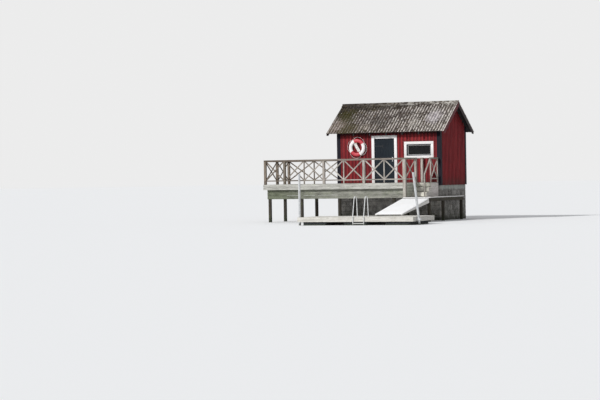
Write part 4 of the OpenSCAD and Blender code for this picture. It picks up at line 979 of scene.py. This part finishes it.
def makeSheets(name, node, back):
    plan = {"courses": 3, "waves": 6, "lap": 0.15, "sideLap": 0.5, "perWave": 12, "lift": 0.0065,
            "sideLift": 0.0004, "eaveStrays": (0, 0.006), "strays": (-0.012, 0.012), "ridgeGap": 0.002,
            "least": 0.01}
    bolts = {"waves": (1, 3, 5), "up": 0.06, "fromEnd": 0.03, "washer": (10, 0.013, 0.011, 0.003, 0.0005),
             "head": (6, 0.006, 0.005, 0.006, 0.004)}  # sides, foot, top, height and middle
    run = (midY - site["wallY"] + site["eaveOut"]) / math.cos(site["pitch"])
    step = (run - plan["ridgeGap"]) / plan["courses"]
    width = plan["waves"] * roof["pitch"]
    bm, heads = newBmesh(), newBmesh()
    for course in range(plan["courses"]):
        start = roof["leftX"]
        lift = plan["lift"] if course else 0.0
        while start < roof["rightX"] - plan["least"]:
            stop = min(roof["rightX"], start + width + roof["pitch"] * plan["sideLap"])
            part = newBmesh()
            columns = max(2, round((stop - start) / roof["pitch"] * plan["perWave"]))
            bmesh.ops.create_grid(part, x_segments=columns, y_segments=2, size=0.5)
            low = course * step + dice.uniform(*plan["strays" if course else "eaveStrays"])
            high = min(run, (course + 1) * step + plan["lap"])
            sideLift = plan["sideLift"] if start > roof["leftX"] else 0.0
            for v in part.verts:
                share = v.co.y + 0.5
                v.co.x = start + (v.co.x + 0.5) * (stop - start)
                v.co.y = low + share * (high - low)
                v.co.z = sheetWave(v.co.x) + (1 - share) * lift + sideLift
            bmesh.ops.solidify(part, geom=part.faces[:], thickness=-roof["sheet"])
            bmesh.ops.recalc_face_normals(part, faces=part.faces[:])
            shade = dice.random()
            for face in part.faces:
                face[part.faces.layers.float["tone"]] = shade
            pour(bm, part)
            for wave in bolts["waves"]:
                x = start + (wave + 0.5) * roof["pitch"]
                if x < stop - bolts["fromEnd"]:
                    bolt = newBmesh()
                    for sides, foot, top, height, middle in (bolts["washer"], bolts["head"]):
                        addCone(bolt, sides, foot, top, height, Matrix.Translation((0, 0, middle)))
                    pour(heads, bolt, Matrix.Translation((x, low + bolts["up"], roof["wave"] + lift)))
            start += width
    for made in (bm, heads):
        made.transform(slopePlace(back))
        made.normal_update()
        if back:  # the back slope is a mirror image, so its faces are turned outwards again
            bmesh.ops.recalc_face_normals(made, faces=made.faces[:])
    finishPiece(name, bm, "building", "sheet", (node,))
    finishPiece(name + "_screws", heads, "building", "steel")


def makeRidge():
    # the cap in lapped lengths, each drawn in a little under the one before it
    plan = {"lengths": 5, "down": 0.006, "inwards": 0.004, "near": 0.001, "end": 0.01}
    low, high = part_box("ridge_cap")
    bm = newBmesh()
    for i in range(plan["lengths"]):
        a = low.x + (high.x - low.x) * i / plan["lengths"]
        b = low.x + (high.x - low.x) * (i + 1) / plan["lengths"]
        part = solidCopy("ridge_cap")
        part.faces.layers.float.new("tone")
        for x, side in ((a, -1), (b, 1)):
            if low.x + plan["end"] < x < high.x - plan["end"]:
                cutOff(part, (x, 0, 0), (side, 0, 0))
        if i:
            for v in part.verts:
                if v.co.x < a + plan["near"]:
                    v.co.z -= plan["down"]
                    v.co.y += plan["inwards"] if v.co.y < midY else -plan["inwards"]
        pour(bm, part)
    finishPiece("ridge_lengths", bm, "building", "ridge", ("ridge_cap",), sharp=40)


def makeBarges():
    # the boards under the verges, cut level at their feet
    plan = {"level": 0.07, "corner": 0.5, "ease": 0.004}
    bm = solidCopy("barge_boards")
    cutOff(bm, (0, 0, eaveZ - plan["level"]), (0, 0, -1))
    bm.normal_update()
    easeEdges(bm, [e for e in bm.edges if e.calc_face_angle(0) > plan["corner"]], plan["ease"])
    toneByRun(bm)
    finishPiece("barge_boards_cut", bm, "building", "black", ("barge_boards",))


def makeMoss():
    # cushions in the furrows of the sheets, thickest low on the left
    plan = {"cushions": 420, "least": 0.008, "most": 0.026, "flat": 0.35, "long": 1.5, "rough": (0.85, 1.15),
            "low": 0.05, "high": 1.9, "drop": 0.6, "left": 1.5, "stray": 0.08, "seat": 0.006, "clear": 0.05}
    bm = newBmesh()
    furrows = int((roof["rightX"] - roof["leftX"]) / roof["pitch"])
    for i in range(plan["cushions"]):
        place = slopePlace(i % 4 == 3)
        furrow = int(furrows * dice.random() ** plan["left"])
        size = dice.uniform(plan["least"], plan["most"])
        x = roof["leftX"] + (furrow + dice.gauss(0, plan["stray"])) * roof["pitch"]
        y = dice.uniform(plan["low"], plan["high"])
        spot = Vector((x, y * (1 - plan["drop"] + plan["drop"] * dice.random()), plan["seat"]))
        if not roof["leftX"] + plan["clear"] < spot.x < roof["rightX"] - plan["clear"]:
            continue
        part = newBmesh()
        bmesh.ops.create_icosphere(part, subdivisions=2, radius=size)
        for v in part.verts:
            v.co *= dice.uniform(*plan["rough"])
            v.co.z *= plan["flat"]
            v.co.y *= plan["long"]
        pour(bm, part, place @ Matrix.Translation(spot))
    bmesh.ops.recalc_face_normals(bm, faces=bm.faces[:])
    finishPiece("moss_cushions", bm, "building", "moss", sharp=80)


def makeDoor():
    plan = {"casing": 0.127, "casingEase": 0.004, "jamb": 0.045, "gap": 0.005, "wide": 0.85, "thick": 0.044,
            "boards": 7, "ease": 0.0035, "sill": 0.155, "tall": 1.815}
    strap = {"low": 0.25, "high": 0.3, "long": 0.32, "wide": 0.034, "proud": 0.004, "sunk": 0.001,
             "ease": 0.0015, "knuckle": 0.008, "sides": 24, "nails": (0.06, 0.16, 0.28),
             "nail": (0.006, 0.0025)}
    low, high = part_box("door_casing")
    width = plan["casing"]
    casing = [
        (low, (low.x + width, high.y, high.z - width)),
        ((high.x - width, low.y, low.z), (high.x, high.y, high.z - width)),
        ((low.x, low.y, high.z - width), high),
    ]
    finishPiece("door_casing_boards", layBoards(casing, plan["casingEase"], segments=2), "building", "white",
                ("door_casing",))
    # the frame round the leaf is near-black, painted shade in the reveal round the door
    easedCopy("door_frame", "dark", 0.003)
    # the leaf's upright boards meet in shallow grooves
    leafLow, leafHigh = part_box("door_leaf")
    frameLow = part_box("door_frame")[0]
    x0, face = frameLow.x + plan["jamb"] + plan["gap"], site["wallY"]
    step = plan["wide"] / plan["boards"]
    boards = [((x0 + i * step, face, leafLow.z), (x0 + (i + 1) * step, face + plan["thick"], leafHigh.z))
              for i in range(plan["boards"])]
    finishPiece("door_boards", layBoards(boards, plan["ease"]), "door", "door", ("door_leaf",))
    hinge = [j for j in frame["joints"] if j["name"] == "door_hinge"][0]["pos_m"]
    foot, wide = frameLow.z + plan["sill"], strap["wide"]
    bm = newBmesh()
    for z in (foot + strap["low"], foot + plan["tall"] - strap["high"]):
        pour(bm, layBoards([((hinge[0], face - strap["proud"], z),
                             (x0 + strap["long"], face + strap["sunk"], z + wide))], strap["ease"]))
        knuckle = newBmesh()
        addCone(knuckle, strap["sides"], strap["knuckle"], strap["knuckle"], wide,
                Matrix.Translation((hinge[0], hinge[1], z + wide / 2)))
        pour(bm, knuckle)
        for along in strap["nails"]:
            spot = Matrix.Translation((x0 + along, face - strap["proud"], z + wide / 2))
            pour(bm, nailHead(*strap["nail"]), spot @ facingFront)
    finishPiece("door_straps", bm, "door", "iron")
    easedCopy("door_hinges", "iron", 0.0012, segments=2)
    easedCopy("door_lever", "steel", 0.0012, "door", segments=2)


def makeWindow():
    plan = {"casing": 0.112, "opening": 0.102, "lining": 0.028, "sill": 0.012, "sash": 0.020, "bead": 0.013,
            "proud": 0.003, "ease": 0.003, "fineEase": 0.002}
    low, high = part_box("window_casing")
    y0, y1, outer = low.y, site["wallY"], plan["casing"]
    boards = [
        ((low.x, y0, low.z + outer), (low.x + outer, y1, high.z - outer)),
        ((high.x - outer, y0, low.z + outer), (high.x, y1, high.z - outer)),
        ((low.x, y0, high.z - outer), (high.x, y1, high.z)),
        ((low.x, y0, low.z), (high.x, y1, low.z + outer)),
    ]
    finishPiece("window_boards", layBoards(boards, plan["ease"], segments=2), "building", "white",
                ("window_casing",))
    x0, x1 = low.x + plan["opening"], high.x - plan["opening"]
    z0, z1 = low.z + plan["opening"], high.z - plan["opening"]
    y0, y1, thick = site["wallY"], site["wallY"] + site["wallT"], plan["lining"]
    # the linings are dark as painted shade in the reveal
    linings = [
        ((x0, y0, z0), (x0 + thick, y1, z1)), ((x1 - thick, y0, z0), (x1, y1, z1)),
        ((x0 + thick, y0, z1 - thick), (x1 - thick, y1, z1)),
        ((x0 + thick, y0, z0), (x1 - thick, y1, z0 + thick + plan["sill"])),
    ]
    finishPiece("window_linings", layBoards(linings, plan["fineEase"]), "building", "lining")
    low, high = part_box("window_sash")
    w = plan["sash"]
    members = [
        (low, (low.x + w, high.y, high.z)), ((high.x - w, low.y, low.z), high),
        ((low.x + w, low.y, low.z), (high.x - w, high.y, low.z + w)),
        ((low.x + w, low.y, high.z - w), (high.x - w, high.y, high.z)),
    ]
    # the sash is dark too, painted shade in the reveal
    finishPiece("window_sash_members", layBoards(members, plan["ease"], segments=2), "building", "lining",
                ("window_sash",))
    # pale beads hold the glass
    bead, y0, y1 = plan["bead"], low.y - plan["proud"], high.y
    x0, x1, z0, z1 = low.x + w, high.x - w, low.z + w, high.z - w
    beads = [
        ((x0, y0, z0), (x0 + bead, y1, z1)), ((x1 - bead, y0, z0), (x1, y1, z1)),
        ((x0 + bead, y0, z0), (x1 - bead, y1, z0 + bead)), ((x0 + bead, y0, z1 - bead), (x1 - bead, y1, z1)),
    ]
    finishPiece("window_beads", layBoards(beads, plan["fineEase"]), "building", "white")


def planks(x0, x1, y0, y1, rows, z0, z1, joints, gap=0.006):
    # rows of boards along x, each cut at some of the joints
    cut, worn = 0.0015, 0.0012
    boards, edges = [], []
    step = (y1 - y0 + gap) / rows
    for row in range(rows):
        a = y0 + row * step
        b = a + step - gap
        ends = [x0] + sorted(dice.sample(joints, min(len(joints), 1 + row % 2))) + [x1]
        edges.append((a, b))
        for left, right in zip(ends, ends[1:]):
            drop = dice.uniform(0, worn)
            boards.append(((left + (cut if left > x0 else 0), a, z0),
                           (right - (cut if right < x1 else 0), b, z1 - drop)))
    return boards, edges


def makeDeck():
    plan = {"stair": 0.74, "gable": 0.1, "strip": 0.85, "skirting": 0.022, "gap": 0.006, "joists": 11,
            "joistT": 0.045, "newel": 0.12, "newelGap": 0.003, "edging": 0.028, "nailFree": 0.1,
            "stray": 0.004, "frontRows": 10, "middleRows": 7, "leftRows": 3, "leftJoists": 4,
            "frontCuts": slice(3, 8), "middleCuts": slice(3, 9), "leftCuts": slice(2, 3)}
    low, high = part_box("deck_boards")
    z0, z1 = low.z, high.z
    x0, x1 = low.x, site["rightX"] - plan["stair"]
    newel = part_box("railing_front")[1].x - plan["newel"]
    strip, wall = site["wallY"] - plan["strip"], site["wallY"] - plan["skirting"]
    count = plan["joists"]
    step = (x1 - x0 - plan["joistT"]) / (count - 1)
    joists = [x0 + i * step + plan["joistT"] / 2 for i in range(count)]
    boards, nails = [], []
    front, frontRows = planks(x0, x1, low.y, strip, plan["frontRows"], z0, z1, joists[plan["frontCuts"]])
    for a, b in front:
        if b[0] > newel and a[1] < low.y + plan["newel"] - plan["edging"]:
            b = (newel - plan["newelGap"], b[1], b[2])
        boards.append((a, b))
    middle, middleRows = planks(x0, site["rightX"] - plan["gable"], strip + plan["gap"], wall,
                                plan["middleRows"], z0, z1, joists[plan["middleCuts"]])
    left, leftRows = planks(x0, site["leftX"] - plan["skirting"], wall + plan["gap"], high.y,
                            plan["leftRows"], z0, z1, joists[plan["leftCuts"]])
    boards += middle + left
    for rows, reached in ((frontRows, count), (middleRows, count), (leftRows, plan["leftJoists"])):
        for a, b in rows:
            for x in joists[:reached]:
                for y in (a + nail["inset"], b - nail["inset"]):
                    if not (x > newel and y < low.y + plan["nailFree"]):
                        stray = dice.uniform(-plan["stray"], plan["stray"])
                        nails.append(Vector((x + stray, y, z1 - nail["sink"])))
    finishPiece("deck_planks", layBoards(boards), "building", "grey", ("deck_boards",))
    addNails("deck_nails", nails, "building")
    for node in ("deck_joists", "deck_beams", "deck_posts", "landing_frame"):
        easedCopy(node, "under", 0.004)
    for node in ("railing_front", "railing_left", "railing_back", "railing_stair"):
        easedCopy(node, "rail", split=True)
    for node, finish in (("deck_fascia", "fascia"), ("stair", "tread"), ("stair_sides", "cheek"),
                         ("deck_skirt", "skirt")):
        easedCopy(node, finish)
    closeDeckEnd(x1, low.y, strip, z1)


def closeDeckEnd(x, y, strip, top):
    # short boards close the deck's end, down to the landing and to each tread
    shut = {"thick": 0.022, "off": 0.0005, "board": 0.112, "gap": 0.006, "newel": 0.095, "tread": 0.27,
            "rise": 0.1983, "riser": 0.032, "clear": 0.002, "least": 0.02}
    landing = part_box("landing_boards")[1].z + shut["clear"]
    foot, step = strip - 2 * shut["tread"], strip - shut["tread"]
    riser, clear = shut["riser"], shut["clear"]
    under = top - 2 * (shut["board"] + shut["gap"])
    spans = [(y + shut["newel"], foot - riser, under, landing),
             (foot - riser + clear, step - riser, top, top - 2 * shut["rise"] + clear),
             (step - riser + clear, strip - riser, top, top - shut["rise"] + clear)]
    ends = []
    for y0, y1, upper, bottom in spans:
        while upper > bottom + shut["least"]:
            lower = max(bottom, upper - shut["board"])
            ends.append(((x + shut["off"], y0, lower), (x + shut["thick"], y1, upper)))
            upper = lower - shut["gap"]
    finishPiece("deck_end_boards", layBoards(ends), "building", "fascia")


def makeLanding():
    plan = {"edging": 0.022, "gap": 0.006, "rimGap": 0.002, "worn": 0.0015, "past": 0.02,
            "frontRows": 15, "sideRows": 11}
    low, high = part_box("landing_boards")
    wall, sideX = site["wallY"] + plan["past"], site["rightX"] - plan["past"]
    right = high.x - plan["edging"]
    boards = []
    for x, y0, y1, rows in ((low.x, low.y + plan["edging"], wall, plan["frontRows"]),
                            (sideX, wall, high.y, plan["sideRows"])):
        step = (y1 - y0 + plan["gap"]) / rows
        for row in range(rows):
            a = y0 + row * step
            boards.append(((x, a, low.z), (right - plan["rimGap"], a + step - plan["gap"],
                                           high.z - dice.uniform(0, plan["worn"]))))
    finishPiece("landing_planks", layBoards(boards), "building", "jetty", ("landing_boards",))
    rim = [(low, (high.x, low.y + plan["edging"] - plan["rimGap"], high.z)),
           ((right, low.y + plan["edging"], low.z), high)]
    finishPiece("landing_edging", layBoards(rim), "building", "white")


def topPlane(node):
    # middle, normal and corners of the largest upward face of a solid
    bm = solidCopy(node)
    best = max((f for f in bm.faces if f.normal.z > 0.5), key=lambda f: f.calc_area())
    middle, normal = best.calc_center_median(), best.normal.copy()
    corners = [v.co.copy() for v in best.verts]
    bm.free()
    return middle, normal, corners


def makeGangway():
    plan = {"thick": 0.028, "gap": 0.005, "boards": 28, "worn": 0.001, "ease": 0.0025}
    middle, normal, corners = topPlane("gangway_deck")
    uphill = Vector((0, normal.z, -normal.y))
    place = Matrix((Vector((1, 0, 0)), uphill, normal)).transposed().to_4x4()
    place = Matrix.Translation(middle) @ place
    inverse = place.inverted()
    local = [inverse @ c for c in corners]
    x0, x1 = min(c.x for c in local), max(c.x for c in local)
    y0, y1 = min(c.y for c in local), max(c.y for c in local)
    step = (y1 - y0 + plan["gap"]) / plan["boards"]
    boards = []
    for i in range(plan["boards"]):
        a = y0 + i * step
        boards.append(((x0, a, -plan["thick"]), (x1, a + step - plan["gap"], -dice.uniform(0, plan["worn"]))))
    finishPiece("gangway_planks", layBoards(boards, plan["ease"], place), "gangway", "gangway",
                ("gangway_deck",))
    easedCopy("gangway_beams", "gangwaySide", 0.002, "gangway")
    easedCopy("gangway_lugs", "steel", 0.001)


def makeJetty():
    plan = {"rows": 18, "gap": 0.007, "joists": 7, "joistT": 0.045, "cuts": slice(2, 5)}
    low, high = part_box("jetty_deck")
    space, half = high.x - low.x - plan["joistT"], plan["joistT"] / 2
    joists = [low.x + space * i / (plan["joists"] - 1) + half for i in range(plan["joists"])]
    boards, rows = planks(low.x, high.x, low.y, high.y, plan["rows"], low.z, high.z, joists[plan["cuts"]],
                          plan["gap"])
    finishPiece("jetty_planks", layBoards(boards), "jetty", "jetty", ("jetty_deck",))
    nails = [Vector((x, y, high.z - nail["sink"])) for a, b in rows for x in joists
             for y in (a + nail["inset"], b - nail["inset"])]
    addNails("jetty_nails", nails, "jetty")
    easedCopy("jetty_frame", "jetty", 0.003, "jetty")
    easedCopy("guide_irons", "steel", 0.0015, "jetty")
    easedCopy("ladder", "tube", 0.0006, "jetty", sharp=40)
    makeFloats()


def makeFloats():
    # moulded boxes with ribs round them both ways
    plan = {"floats": 3, "long": 1.0, "inset": 0.012, "lower": 0.004, "ease": 0.014, "rib": 0.05,
            "ribEase": 0.009, "ribs": 7, "ribsIn": 0.04, "hoops": 13, "hoopsIn": 0.05, "hoopsLower": 0.002}
    bm = newBmesh()
    first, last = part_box("jetty_floats")
    step = (last.x - first.x - plan["long"]) / (plan["floats"] - 1)
    inset, rib = plan["inset"], plan["rib"]
    for i in range(plan["floats"]):
        left = first.x + i * step
        low, high = Vector((left, first.y, first.z)), Vector((left + plan["long"], last.y, last.z))
        shell = ((low.x + inset, low.y + inset, low.z),
                 (high.x - inset, high.y - inset, high.z - plan["lower"]))
        pour(bm, layBoards([shell], plan["ease"], segments=3))
        ribs = []
        room = plan["long"] - 2 * plan["ribsIn"] - rib
        for r in range(plan["ribs"]):
            x = low.x + plan["ribsIn"] + room * r / (plan["ribs"] - 1)
            ribs.append(((x, low.y, low.z), (x + rib, high.y, high.z)))
        room = high.y - low.y - 2 * plan["hoopsIn"] - rib
        for r in range(plan["hoops"]):
            y = low.y + plan["hoopsIn"] + room * r / (plan["hoops"] - 1)
            ribs.append(((low.x, y, low.z), (high.x, y + rib, high.z - plan["hoopsLower"])))
        pour(bm, layBoards(ribs, plan["ribEase"], segments=2))
    finishPiece("float_shells", bm, "jetty", "float", ("jetty_floats",), sharp=40)


def makePoles():
    # galvanised tubes, open at the top
    plan = {"wall": 0.005, "deep": 0.12, "nearTop": 0.05}
    bm = solidCopy("guide_poles")
    bm.faces.layers.float.new("tone")
    top = max(v.co.z for v in bm.verts)
    ends = [f for f in bm.faces if f.normal.z > 0.9 and f.calc_center_median().z > top - plan["nearTop"]]
    bmesh.ops.inset_individual(bm, faces=ends, thickness=plan["wall"], use_even_offset=True)
    moved = bmesh.ops.extrude_discrete_faces(bm, faces=ends)
    bottoms = list({v for f in moved["faces"] for v in f.verts})
    bmesh.ops.translate(bm, verts=bottoms, vec=(0, 0, -plan["deep"]))
    finishPiece("guide_tubes", bm, "building", "steel", ("guide_poles",), sharp=40)


def spunRing(depth, width, steps, angle, radius):
    # a rounded section turned round the ring's middle, facing the front
    corners, power = 28, 0.82
    bm = newBmesh()
    bmesh.ops.create_circle(bm, cap_ends=False, segments=corners, radius=1.0)
    for v in bm.verts:
        a = math.atan2(v.co.y, v.co.x)
        c, s = math.cos(a), math.sin(a)
        v.co = Vector((radius + width * math.copysign(abs(c) ** power, c),
                       depth * math.copysign(abs(s) ** power, s), 0))
    bmesh.ops.spin(bm, geom=bm.verts[:] + bm.edges[:], cent=(0, 0, 0), axis=(0, 1, 0), angle=angle,
                   steps=steps, use_merge=abs(angle - math.tau) < 1e-6)
    bmesh.ops.remove_doubles(bm, verts=bm.verts[:], dist=1e-5)
    bmesh.ops.recalc_face_normals(bm, faces=bm.faces[:])
    return bm


def ropePiece(name, path, radius, replaces=()):
    # three strands laid up: a lobed section that turns along the path
    rope = {"corners": 18, "strands": 3, "body": 0.88, "lobe": 0.12, "lay": 7.0}
    section = bpy.data.curves.new("strandSection", "CURVE")
    section.dimensions = "2D"
    loop = section.splines.new("POLY")
    loop.points.add(rope["corners"] - 1)
    for i in range(rope["corners"]):
        a = math.tau * i / rope["corners"]
        r = radius * (rope["body"] + rope["lobe"] * math.cos(rope["strands"] * a))
        loop.points[i].co = (r * math.cos(a), r * math.sin(a), 0, 1)
    loop.use_cyclic_u = True
    holder = bpy.data.objects.new("strandSection", section)
    bpy.context.scene.collection.objects.link(holder)
    curve = bpy.data.curves.new(name, "CURVE")
    curve.dimensions = "3D"
    curve.bevel_mode = "OBJECT"
    curve.bevel_object = holder
    curve.use_fill_caps = True
    line = curve.splines.new("POLY")
    line.points.add(len(path) - 1)
    travelled = 0.0
    for i, spot in enumerate(path):
        if i:
            travelled += (spot - path[i - 1]).length
        line.points[i].co = (*spot, 1)
        line.points[i].tilt = travelled / (radius * rope["lay"]) * math.tau
    roped = bpy.data.objects.new(name + "Curve", curve)
    bpy.context.scene.collection.objects.link(roped)
    bpy.context.view_layer.update()
    mesh = bpy.data.meshes.new_from_object(roped.evaluated_get(bpy.context.evaluated_depsgraph_get()))
    bpy.data.objects.remove(roped)
    bpy.data.objects.remove(holder)
    bm = bmesh.new()
    bm.from_mesh(mesh)
    bpy.data.meshes.remove(mesh)
    bmesh.ops.remove_doubles(bm, verts=bm.verts[:], dist=1e-6)
    bmesh.ops.recalc_face_normals(bm, faces=bm.faces[:])
    finishPiece(name, bm, "building", "rope", replaces, sharp=60)


def aboutRing(degrees):
    return Matrix.Rotation(math.radians(degrees), 4, "Y")


def grabLine(plan):
    # four slack bights between the straps
    held = plan["middle"] + plan["half"] + plan["ropeR"] + plan["seat"]
    chord = held * math.sqrt(2)
    sag = held * (1 - math.cos(math.radians(45))) + plan["slack"]
    arc = (chord * chord / 4 + sag * sag) / (2 * sag)
    half = math.asin(chord / 2 / arc)
    away = held + plan["slack"] - arc
    line = []
    for k in range(4):
        for i in range(1 if k else 0, plan["bightSteps"] + 1):
            a = -half + 2 * half * i / plan["bightSteps"]
            line.append(aboutRing(-90 * k) @ Vector((away + arc * math.cos(a), 0, arc * math.sin(a))))
    return line


def foldedLine(plan):
    # runs side by side, joined by tight bends
    fold = []
    pitch, reach = plan["pitch"], plan["reach"] - plan["strandR"]
    for i in range(plan["runs"]):
        x = pitch / 2 - plan["runs"] * pitch / 2 + i * pitch
        direction = 1 if i % 2 == 0 else -1
        for step in range(plan["runSteps"] + 1):
            fold.append(Vector((x, 0, direction * (-reach + 2 * reach * step / plan["runSteps"]))))
        if i < plan["runs"] - 1:
            for step in range(1, plan["bendSteps"]):
                a = math.pi * step / plan["bendSteps"]
                fold.append(Vector((x + pitch / 2 - math.cos(a) * pitch / 2, 0,
                                    direction * (reach + math.sin(a) * pitch / 2))))
    return fold


def makeLifebuoy():
    plan = {"middle": 0.2975, "half": 0.0775, "depth": 0.05, "steps": 96, "strap": 7.5, "strapSteps": 5,
            "strapT": 0.0012, "strapOff": 0.0015, "ropeR": 0.006, "seat": 0.0003, "slack": 0.07,
            "bightSteps": 200, "strandR": 0.0108, "pitch": 0.021, "runs": 6, "reach": 0.196, "runSteps": 64,
            "bendSteps": 8}
    band = {"over": 0.002, "half": 0.018, "ease": 0.006}
    home = Matrix.Translation(buoy["centre"]) @ aboutRing(-buoy["tilt"])
    ring = spunRing(plan["depth"], plan["half"], plan["steps"], math.tau, plan["middle"])
    ring.transform(home)
    finishPiece("lifebuoy_ring", ring, "building", "ring", ("lifebuoy",), sharp=70)
    straps = newBmesh()
    span, off = math.radians(plan["strap"]), plan["strapOff"]
    for k in range(4):
        strap = spunRing(plan["depth"] + off, plan["half"] + off, plan["strapSteps"], span, plan["middle"])
        pour(straps, strap, aboutRing(-45 - 90 * k - plan["strap"] / 2))
    bmesh.ops.solidify(straps, geom=straps.faces[:], thickness=plan["strapT"])
    straps.transform(home)
    finishPiece("lifebuoy_straps", straps, "building", "rope", sharp=60)
    turned = home @ aboutRing(-45)
    ropePiece("grab_line", [home @ v for v in grabLine(plan)], plan["ropeR"], ("lifebuoy_lines",))
    ropePiece("folded_line", [turned @ v for v in foldedLine(plan)], plan["strandR"])
    across, deep = plan["runs"] * plan["pitch"] / 2 + band["over"], plan["strandR"] + band["over"]
    wrap = [((-across, -deep, -band["half"]), (across, deep, band["half"]))]
    finishPiece("line_band", layBoards(wrap, band["ease"], turned, 3), "building", "rope", sharp=50)
    easedCopy("buoy_peg", "raw", 0.002, segments=2)


paintWalls()
makeCladding()
makePlinth()
easedCopy("corner_boards", "dark", 0.004)
print("walls done")
makeSheets("roof_sheets_front", "roof_sheet_front", False)
makeSheets("roof_sheets_back", "roof_sheet_back", True)
makeRidge()
makeBarges()
makeMoss()
for timber in ("rafters_front", "rafters_back", "roof_boards_front", "roof_boards_back"):
    easedCopy(timber, "eaves")
for timber in ("ridge_board", "tie_beams", "floor"):
    easedCopy(timber, "raw")
print("roof done")
makeDoor()
makeWindow()
frame["nodes"]["window_glass"].data.materials.clear()
frame["nodes"]["window_glass"].data.materials.append(finishes["glass"])
print("door and window done")
makeDeck()
makeLanding()
print("deck done")
makeGangway()
makeJetty()
makePoles()
print("jetty done")
makeLifebuoy()
print("lifebuoy done")
